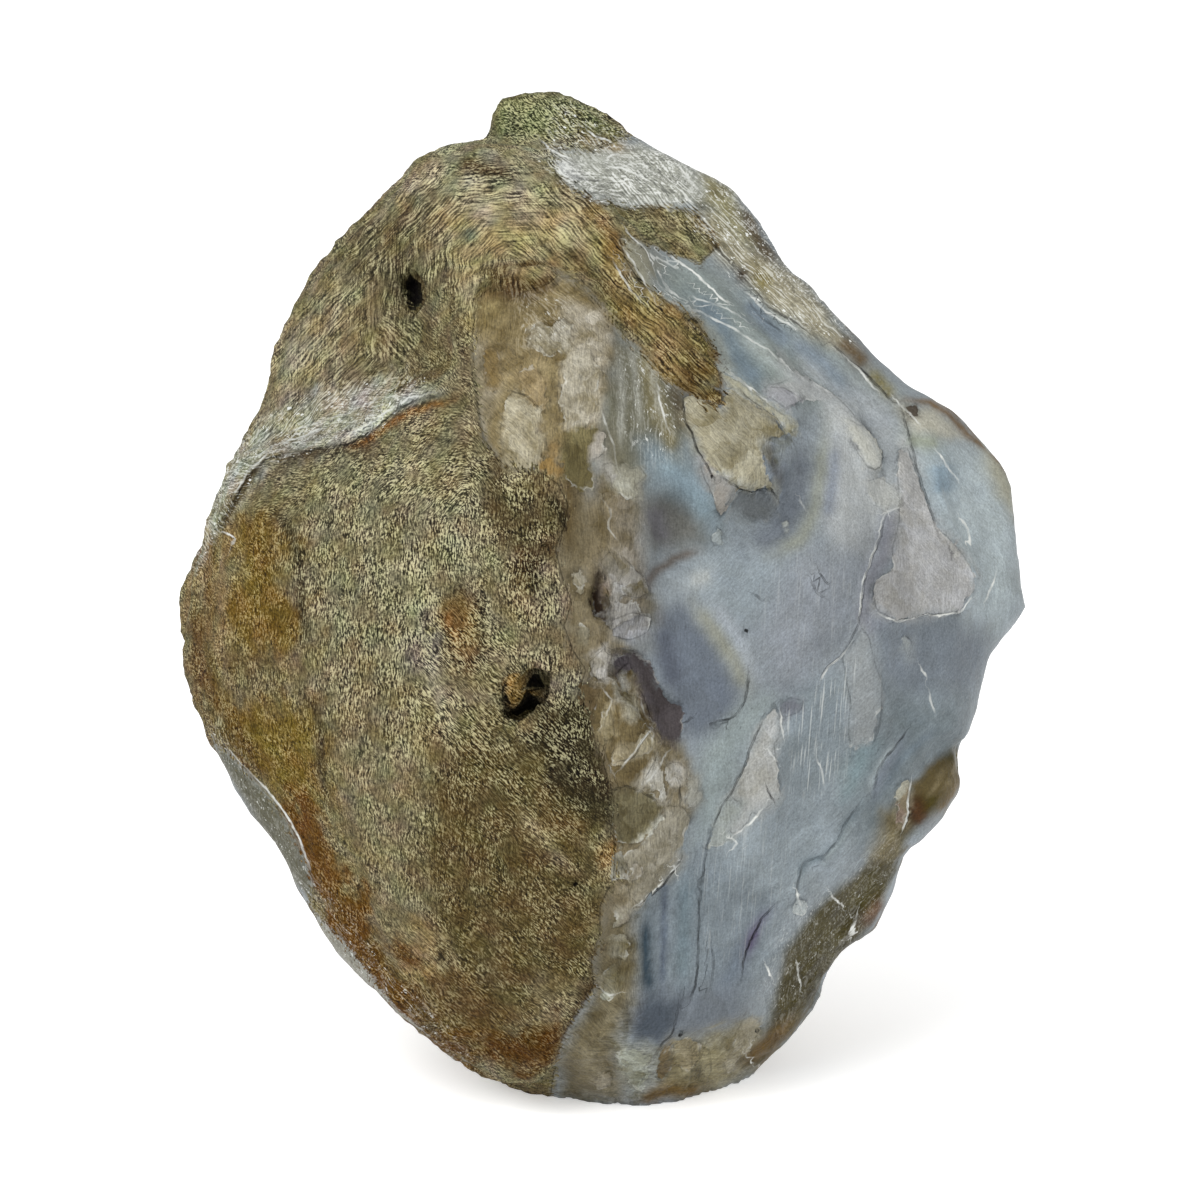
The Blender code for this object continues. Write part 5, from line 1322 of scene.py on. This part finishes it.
def strokes_group():
    """Long strands and short ticks that run the way of the stone's grain, both about 0."""
    gives = dict.fromkeys(STROKE_SIZES, "Float")
    tree, takes, gives = new_group("Grain strokes", {"Place": "Vector"}, gives)
    ways = node(tree, "SeparateColor", {0: known(tree, "grain_ways", "Color")}).outputs
    totals = dict.fromkeys(STROKE_SIZES, 0.0)
    for number, share in enumerate([*ways, known(tree, "grain_ways", "Alpha")]):
        place = vary(tree, "SUBTRACT", takes["Place"], [number * apart for apart in STROKES_APART])
        cos, sin = math.cos(math.pi / WAYS * number), math.sin(math.pi / WAYS * number)
        sides = {0: (cos, sin, 0.0), 1: (-sin, cos, 0.0), 2: (0.0, 0.0, 1.0)}
        sides = {axis: measured(tree, place, side) for axis, side in sides.items()}
        turned = node(tree, "CombineXYZ", sides).outputs[0]
        for name, (length, width) in STROKE_SIZES.items():
            sized = vary(tree, "DIVIDE", turned, (length, width, length))
            own = uneven(tree, sized, *STROKE_NOISE)
            totals[name] = plus(tree, own, share, totals[name])
    give(tree, gives, totals)
    return tree


def patch_group():
    """A patch, sharp-edged in some places and fading in others, from how deep each point lies in it, with a
    painted highlight just inside its edge and a painted shadow just outside.
    """
    takes = dict.fromkeys(("Depth", "Wobble", "Fading", "Patchy", "Ragged", "Soft", "Fades"), "Float")
    gives = dict.fromkeys(("Inside", *EDGES), "Float")
    tree, takes, gives = new_group("Patch", takes, gives)
    depth = plus(tree, takes["Wobble"], takes["Ragged"], takes["Depth"])
    soft = plus(tree, takes["Fading"], takes["Fades"], takes["Soft"])
    sharp = reckon(tree, "SUBTRACT", 1.0, takes["Fading"])
    made = {"Inside": ease(tree, depth, times(tree, soft, -1.0), soft)}
    for name, (start, end, places) in EDGES.items():
        band = times(tree, ease(tree, depth, *start), ease(tree, depth, *end))
        made[name] = times(tree, band, ease(tree, takes["Patchy"], *places), sharp)
    give(tree, gives, made)
    return tree


def line_group():
    """A thin line that comes and goes, from how far each point lies from it."""
    takes = dict.fromkeys(("Gap", "Here", "Wobble", "Patchy", "Width"), "Float")
    tree, takes, gives = new_group("Thin line", takes, {"Line": "Float"})
    gap = reckon(tree, "ABSOLUTE", plus(tree, takes["Wobble"], LINE_WOBBLE, takes["Gap"]))
    line = ease(tree, gap, takes["Width"], times(tree, takes["Width"], LINE_CORE))
    patchy = spread(tree, takes["Patchy"], *LINE_PATCHY)
    give(tree, gives, {"Line": times(tree, line, takes["Here"], patchy)})
    return tree


def rind_group():
    """Weathered basalt rind: light and dark strokes over its tint, with grit between."""
    takes = {"Place": "Vector", "Tint": "Color", "Strands": "Float", "Ticks": "Float", "Grit": "Float"}
    tree, takes, gives = new_group("Rind", takes, {"Colour": "Color"})
    place = takes["Place"]
    parts = node(tree, "SeparateColor", {0: known(tree, "rind_finish", "Color")})
    stranded, grainy, contrast = parts.outputs
    strands = times(tree, takes["Strands"], spread(tree, stranded, 0.0, 1.0, *STRAND_SHARE))
    ticks = times(tree, takes["Ticks"], spread(tree, stranded, 0.0, 1.0, *TICK_SHARE))
    grit = times(tree, takes["Grit"], spread(tree, grainy, 0.0, 1.0, *GRIT_SHARE))
    mix = reckon(tree, "ADD", reckon(tree, "ADD", strands, ticks), grit)
    clumps = noisy(tree, place, *CLUMP_NOISE)
    warm = times(tree, ease(tree, noisy(tree, place, *WARM_NOISE), *WARM_PLACES), WARMTH)
    strength = times(tree, contrast, spread(tree, clumps, *CLUMP_STRENGTH))
    strength = times(tree, strength, spread(tree, warm, *WARM_STRENGTH))
    hue = vary(tree, "MULTIPLY_ADD", noisy(tree, place, *HUE_NOISE, "Color"), *RIND_HUES)
    colour = vary(tree, "MULTIPLY", takes["Tint"], hue)
    colour = lay_over(tree, colour, vary(tree, "MULTIPLY", colour, OCHRE_CAST), warm)
    gain = times(tree, plus(tree, mix, MARK_CONTRAST, 1.0), spread(tree, clumps, *CLUMP_SHADE))
    colour = shaded(tree, colour, gain)
    light = times(tree, ease(tree, mix, *LIGHT_MARKS), strength)
    dark = times(tree, ease(tree, mix, *DARK_MARKS), strength)
    below = lay_over(tree, colour, shaded(tree, colour, DARK_GAIN), dark)
    pale = lay_over(tree, shaded(tree, colour, LIGHT_GAIN), PALE_GRAIN, PALE_SHARE)
    give(tree, gives, {"Colour": lay_over(tree, below, pale, light)})
    return tree


def banded_glass(tree, colour, waves):
    """Soft bands where the chalcedony has them, and thin layers all through it."""
    _, _, banded = node(tree, "SeparateColor", {0: known(tree, "finish", "Color")}).outputs
    depth = known(tree, "band_depth")
    across = node(tree, "CombineXYZ", {0: depth}).outputs[0]
    bands = uneven(tree, moved(tree, across, waves, BAND_BEND), *BAND_NOISE)
    colour = shaded(tree, colour, plus(tree, times(tree, bands, banded), BAND_CONTRAST, 1.0))
    layers = reckon(tree, "FRACT", plus(tree, bands, LAYER_BEND, times(tree, depth, LAYERS_TO_MM)))
    return shaded(tree, colour, spread(tree, layers, 0.0, 1.0, *LAYER_SHADE))


def cloudy_glass(tree, colour, place, waves, clouds):
    """Milky clouds and small broken facets, strong in the quartz and faint elsewhere."""
    bent = moved(tree, place, waves, FACET_BEND)
    fine, coarse = (facets(tree, bent, scale) for scale in FACETS_TO_MM)
    facet = times(tree, plus(tree, fine, FINE_FACETS, coarse), FACET_SHARE)
    cloud = plus(tree, uneven(tree, place, *CLOUD_NOISE), CLOUD_SHARE, facet)
    cloud = times(tree, cloud, reckon(tree, "MAXIMUM", clouds, LEAST_CLOUD))
    cloud = node(tree, "CombineXYZ", {0: cloud, 1: cloud, 2: cloud}).outputs[0]
    gain = vary(tree, "MULTIPLY_ADD", cloud, CLOUD_CAST, (1.0, 1.0, 1.0))
    return vary(tree, "MULTIPLY", colour, gain)


def scratched_glass(tree, colour, place):
    """Fine light and dark scratches that run up the flank."""
    scratched = known(tree, "finish", "Alpha")
    light_share, dark_share = SCRATCH_SHARES
    turn = {"Vector": place, "Rotation": (0.0, 0.0, SCRATCH_TURN), "Scale": SCRATCH_SIZE}
    scratch = noisy(tree, node(tree, "Mapping", turn, vector_type="TEXTURE").outputs[0], *SCRATCH_NOISE)
    light = times(tree, ease(tree, scratch, *LIGHT_SCRATCH), scratched, light_share)
    colour = lay_over(tree, colour, WHITE_CRYSTAL, light)
    dark = times(tree, ease(tree, scratch, *DARK_SCRATCH), scratched, dark_share)
    return lay_over(tree, colour, shaded(tree, colour, SCRATCH_SHADE), dark)


def chalcedony_group():
    """Broken chalcedony: faint bands, cloudy quartz, fine scratches and streaks over its tint."""
    takes = {
        "Place": "Vector", "Waves": "Vector", "Tint": "Color", "Strands": "Float", "Ticks": "Float",
        "Grit": "Float"}
    tree, takes, gives = new_group("Chalcedony", takes, {"Colour": "Color"})
    place, waves = takes["Place"], takes["Waves"]
    _, clouds, _ = node(tree, "SeparateColor", {0: known(tree, "finish", "Color")}).outputs
    haze = spread(tree, noisy(tree, place, *HAZE_NOISE), *HAZE_SHADE)
    strand_share, tick_share = STREAKS
    streaks = plus(tree, takes["Strands"], strand_share, times(tree, takes["Ticks"], tick_share))
    streaks = times(tree, streaks, plus(tree, clouds, CLOUD_STREAKS, 1.0))
    gain = plus(tree, takes["Grit"], GLASS_GRIT, reckon(tree, "ADD", streaks, 1.0))
    colour = shaded(tree, takes["Tint"], times(tree, gain, haze))
    colour = banded_glass(tree, colour, waves)
    colour = cloudy_glass(tree, colour, place, waves, clouds)
    give(tree, gives, {"Colour": scratched_glass(tree, colour, place)})
    return tree


def needle_group():
    """White needles of fresh crystal, with painted shadow in the dark gaps between, over any part of the
    stone.
    """
    takes = {"Below": "Color", "Strands": "Float", "Ticks": "Float", "Wobble": "Float"}
    tree, takes, gives = new_group("White needles", takes, {"Colour": "Color", "Needles": "Float"})
    needles = node(tree, "SeparateColor", {0: known(tree, "finish", "Color")}).outputs[0]
    hair = plus(tree, takes["Ticks"], HAIR_TICKS, takes["Strands"])
    shadow = times(tree, ease(tree, hair, *HAIR_GAPS), needles, GAP_SHARE)
    colour = lay_over(tree, takes["Below"], shaded(tree, takes["Below"], GAP_SHADE), shadow)
    hair = times(tree, ease(tree, hair, *HAIRS), needles)
    fleck = ease(tree, plus(tree, takes["Ticks"], FLECK_TICKS, takes["Wobble"]), *FLECKS)
    fleck = times(tree, fleck, ease(tree, needles, *FLECK_PLACES))
    hair = reckon(tree, "MAXIMUM", hair, fleck)
    give(tree, gives, {"Colour": lay_over(tree, colour, WHITE_CRYSTAL, hair), "Needles": hair})
    return tree


def fine_relief(tree, place):
    """The stone's height where the mesh is too coarse for it: rough rind, and steps at the drawn edges."""
    bare = ease(tree, known(tree, "bare_depth"), *STEP)
    lumps = spread(tree, bare, 0.0, 1.0, RIND_RELIEF, GLASS_RELIEF)
    height = times(tree, noisy(tree, place, *RELIEF_NOISE), lumps)
    height = plus(tree, ease(tree, known(tree, "flake_depth"), *STEP), FLAKE_RELIEF, height)
    height = plus(tree, ease(tree, known(tree, "chip_depth"), *STEP), CHIP_RELIEF, height)
    crack = ease(tree, reckon(tree, "ABSOLUTE", known(tree, "crack_gap")), *CRACK_WALL)
    return plus(tree, times(tree, crack, known(tree, "crack_here")), CRACK_RELIEF, height)


def surface_group():
    """All that shows on the stone, from the rind down to the holes in it."""
    patch, line = patch_group(), line_group()
    gives = {"Colour": "Color", "Roughness": "Float", "Height": "Float"}
    tree, takes, gives = new_group("Agate surface", {"Place": "Vector"}, gives)
    place = takes["Place"]
    waves = vary(tree, "SUBTRACT", noisy(tree, place, *WAVE_NOISE, "Color"), (0.5, 0.5, 0.5))
    strokes = placed(tree, strokes_group(), Place=moved(tree, place, waves, STROKE_BEND))
    marks = {"Strands": strokes["Strands"], "Ticks": strokes["Ticks"]}
    grit = uneven(tree, place, *GRIT_NOISE)
    wobble = uneven(tree, place, *WOBBLE_NOISE)
    patchy = uneven(tree, place, *PATCHY_NOISE)
    fading = ease(tree, noisy(tree, place, *FADING_NOISE), *FADING_PLACES)
    edges = {"Wobble": wobble, "Fading": fading, "Patchy": patchy}
    flake = placed(tree, patch, Depth=known(tree, "flake_depth"), **edges, **FLAKE_EDGE)
    chip = placed(tree, patch, Depth=known(tree, "chip_depth"), **edges, **CHIP_EDGE)
    hole = placed(tree, patch, Depth=known(tree, "hole_depth"), **edges, **HOLE_EDGE)
    torn = plus(tree, marks["Strands"], TORN_BY_STRANDS, known(tree, "bare_depth"))
    bare = placed(tree, patch, Depth=torn, **edges, **BARE_EDGE)

    tint = known(tree, "glass_tint", "Color")
    tint = lay_over(tree, tint, known(tree, "flake_tint", "Color"), flake["Inside"])
    tint = lay_over(tree, tint, known(tree, "chip_tint", "Color"), chip["Inside"])
    glass = placed(tree, chalcedony_group(), Place=place, Waves=waves, Tint=tint, Grit=grit, **marks)
    # A painted highlight just inside the edges of flakes and chips, and a painted shadow just outside them
    edge = reckon(tree, "MAXIMUM", flake["Light edge"], chip["Light edge"])
    colour = lay_over(tree, glass["Colour"], WHITE_CRYSTAL, times(tree, edge, LIGHT_EDGE_SHARE))
    edge = reckon(tree, "MAXIMUM", flake["Dark edge"], chip["Dark edge"])
    shade = shaded(tree, colour, DARK_EDGE_SHADE)
    colour = lay_over(tree, colour, shade, times(tree, edge, DARK_EDGE_SHARE))
    tint = known(tree, "rind_tint", "Color")
    rind = placed(tree, rind_group(), Place=place, Tint=tint, Grit=grit, **marks)
    colour = lay_over(tree, rind["Colour"], colour, bare["Inside"])
    crystal = placed(tree, needle_group(), Below=colour, Wobble=wobble, **marks)

    lines = {"Wobble": wobble, "Patchy": patchy, "Width": LINE_WIDTH}
    # Dark lines, both cracks and painted shadow along some steps, then white lines, both seams and painted
    # highlights along some edges
    crack = placed(tree, line, Gap=known(tree, "crack_gap"), Here=known(tree, "crack_here"), **lines)
    colour = lay_over(tree, crystal["Colour"], shaded(tree, colour, CRACK_SHADE), crack["Line"])
    seam = placed(tree, line, Gap=known(tree, "seam_gap"), Here=known(tree, "seam_here"), **lines)
    colour = lay_over(tree, colour, WHITE_CRYSTAL, seam["Line"])
    # Painted shadow inside the holes: much darker, and black where they are deepest
    deep = ease(tree, known(tree, "hole_depth"), *HOLE_DEPTHS)
    inner = lay_over(tree, shaded(tree, colour, HOLE_SHADE), HOLE_BLACK, deep)
    colour = lay_over(tree, colour, inner, hole["Inside"])
    finish = spread(tree, bare["Inside"], 0.0, 1.0, RIND_ROUGHNESS, GLASS_ROUGHNESS)
    # The last gain makes drawn places lighter or darker; on the big flake's left and the beige flake's right
    # it is painted shade
    give(tree, gives, {
        "Colour": shaded(tree, colour, known(tree, "rind_finish", "Alpha")),
        "Roughness": plus(tree, crystal["Needles"], -NEEDLE_GLOSS, finish),
        "Height": fine_relief(tree, place)})
    return tree


def stone_material():
    material = bpy.data.materials.new("agate")
    material.use_nodes = True
    tree = material.node_tree
    finish = tree.nodes["Principled BSDF"]
    stance = {
        "Vector": node(tree, "TexCoord").outputs["Object"], "Location": [side * MM for side in SHOW_ORIGIN],
        "Rotation": (math.pi / 2 - SHOW_TILT, 0.0, 0.0), "Scale": (MM, MM, MM)}
    place = node(tree, "Mapping", stance, vector_type="TEXTURE").outputs[0]
    shown = placed(tree, surface_group(), Place=place)
    tree.links.new(shown["Colour"], finish.inputs["Base Color"])
    tree.links.new(shown["Roughness"], finish.inputs["Roughness"])
    bump = node(tree, "Bump", {"Height": shown["Height"], "Distance": MM, "Strength": 1.0})
    tree.links.new(bump.outputs["Normal"], finish.inputs["Normal"])
    finish.inputs["Specular IOR Level"].default_value = SPECULAR
    return material


def make_stone():
    shape = bmesh.new()
    shape.from_mesh(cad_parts["stone"].data)
    bmesh.ops.remove_doubles(shape, verts=shape.verts, dist=WELD * MM)
    mesh = bpy.data.meshes.new("agate_stone")
    shape.to_mesh(mesh)
    stone = bpy.data.objects.new("agate_stone", mesh)
    bpy.context.scene.collection.objects.link(stone)
    divide = stone.modifiers.new("fine mesh", "REMESH")
    divide.mode = "VOXEL"
    divide.voxel_size = GRID * MM
    fine = bpy.data.meshes.new_from_object(stone.evaluated_get(bpy.context.evaluated_depsgraph_get()))
    stone.modifiers.remove(divide)
    shape.clear()
    shape.from_mesh(fine)
    for _ in range(SMOOTHING_PASSES):
        bmesh.ops.smooth_vert(
            shape, verts=shape.verts, factor=0.5, use_axis_x=True, use_axis_y=True, use_axis_z=True)
    shape.to_mesh(fine)
    shape.free()
    stone.data = fine
    carve(fine)
    colour_stone(fine)
    fine.materials.clear()
    fine.materials.append(stone_material())
    fine.polygons.foreach_set("use_smooth", np.ones(len(fine.polygons), bool))
    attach(stone, "root")
    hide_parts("stone")
    return stone


def pale_material():
    material = bpy.data.materials.new("pale paper")
    material.use_nodes = True
    finish = material.node_tree.nodes["Principled BSDF"]
    finish.inputs["Base Color"].default_value = PAPER
    finish.inputs["Roughness"].default_value = PAPER_ROUGHNESS
    finish.inputs["Specular IOR Level"].default_value = SPECULAR
    finish.inputs["Emission Color"].default_value = WHITE
    finish.inputs["Emission Strength"].default_value = PAPER_GLOW
    return material


def make_floor():
    shape = bmesh.new()
    bmesh.ops.create_grid(shape, x_segments=1, y_segments=1, size=FLOOR_SIZE)
    mesh = bpy.data.meshes.new("floor")
    shape.to_mesh(mesh)
    shape.free()
    mesh.materials.append(pale_material())
    floor = bpy.data.objects.new("floor", mesh)
    bpy.context.scene.collection.objects.link(floor)


def make_camera():
    data = bpy.data.cameras.new("camera")
    data.lens = CAMERA_LENS
    data.sensor_width = CAMERA_SENSOR
    camera = bpy.data.objects.new("camera", data)
    away = Vector((0.0, -math.cos(SHOW_TILT), math.sin(SHOW_TILT))) * CAMERA_DISTANCE
    camera.location = (Vector(SHOW_ORIGIN) + away) * MM
    camera.rotation_euler = (math.pi / 2 - SHOW_TILT, 0.0, 0.0)
    bpy.context.scene.collection.objects.link(camera)
    bpy.context.scene.camera = camera


def add_light(name, place, size, power):
    data = bpy.data.lights.new(name, "AREA")
    data.size = size
    data.energy = power
    light = bpy.data.objects.new(name, data)
    light.location = place
    light.rotation_euler = (Vector(place) - Vector(LAMP_TARGET)).to_track_quat("Z", "Y").to_euler()
    bpy.context.scene.collection.objects.link(light)


def light_scene():
    world = bpy.data.worlds.new("studio")
    world.use_nodes = True
    sky = world.node_tree.nodes["Background"]
    sky.inputs["Color"].default_value = WHITE
    sky.inputs["Strength"].default_value = WORLD_STRENGTH
    bpy.context.scene.world = world
    bpy.context.scene.view_settings.view_transform = "Standard"
    add_light("key", *KEY_LAMP)
    add_light("fill", *FILL_LAMP)


make_camera()
light_scene()
make_floor()
make_stone()
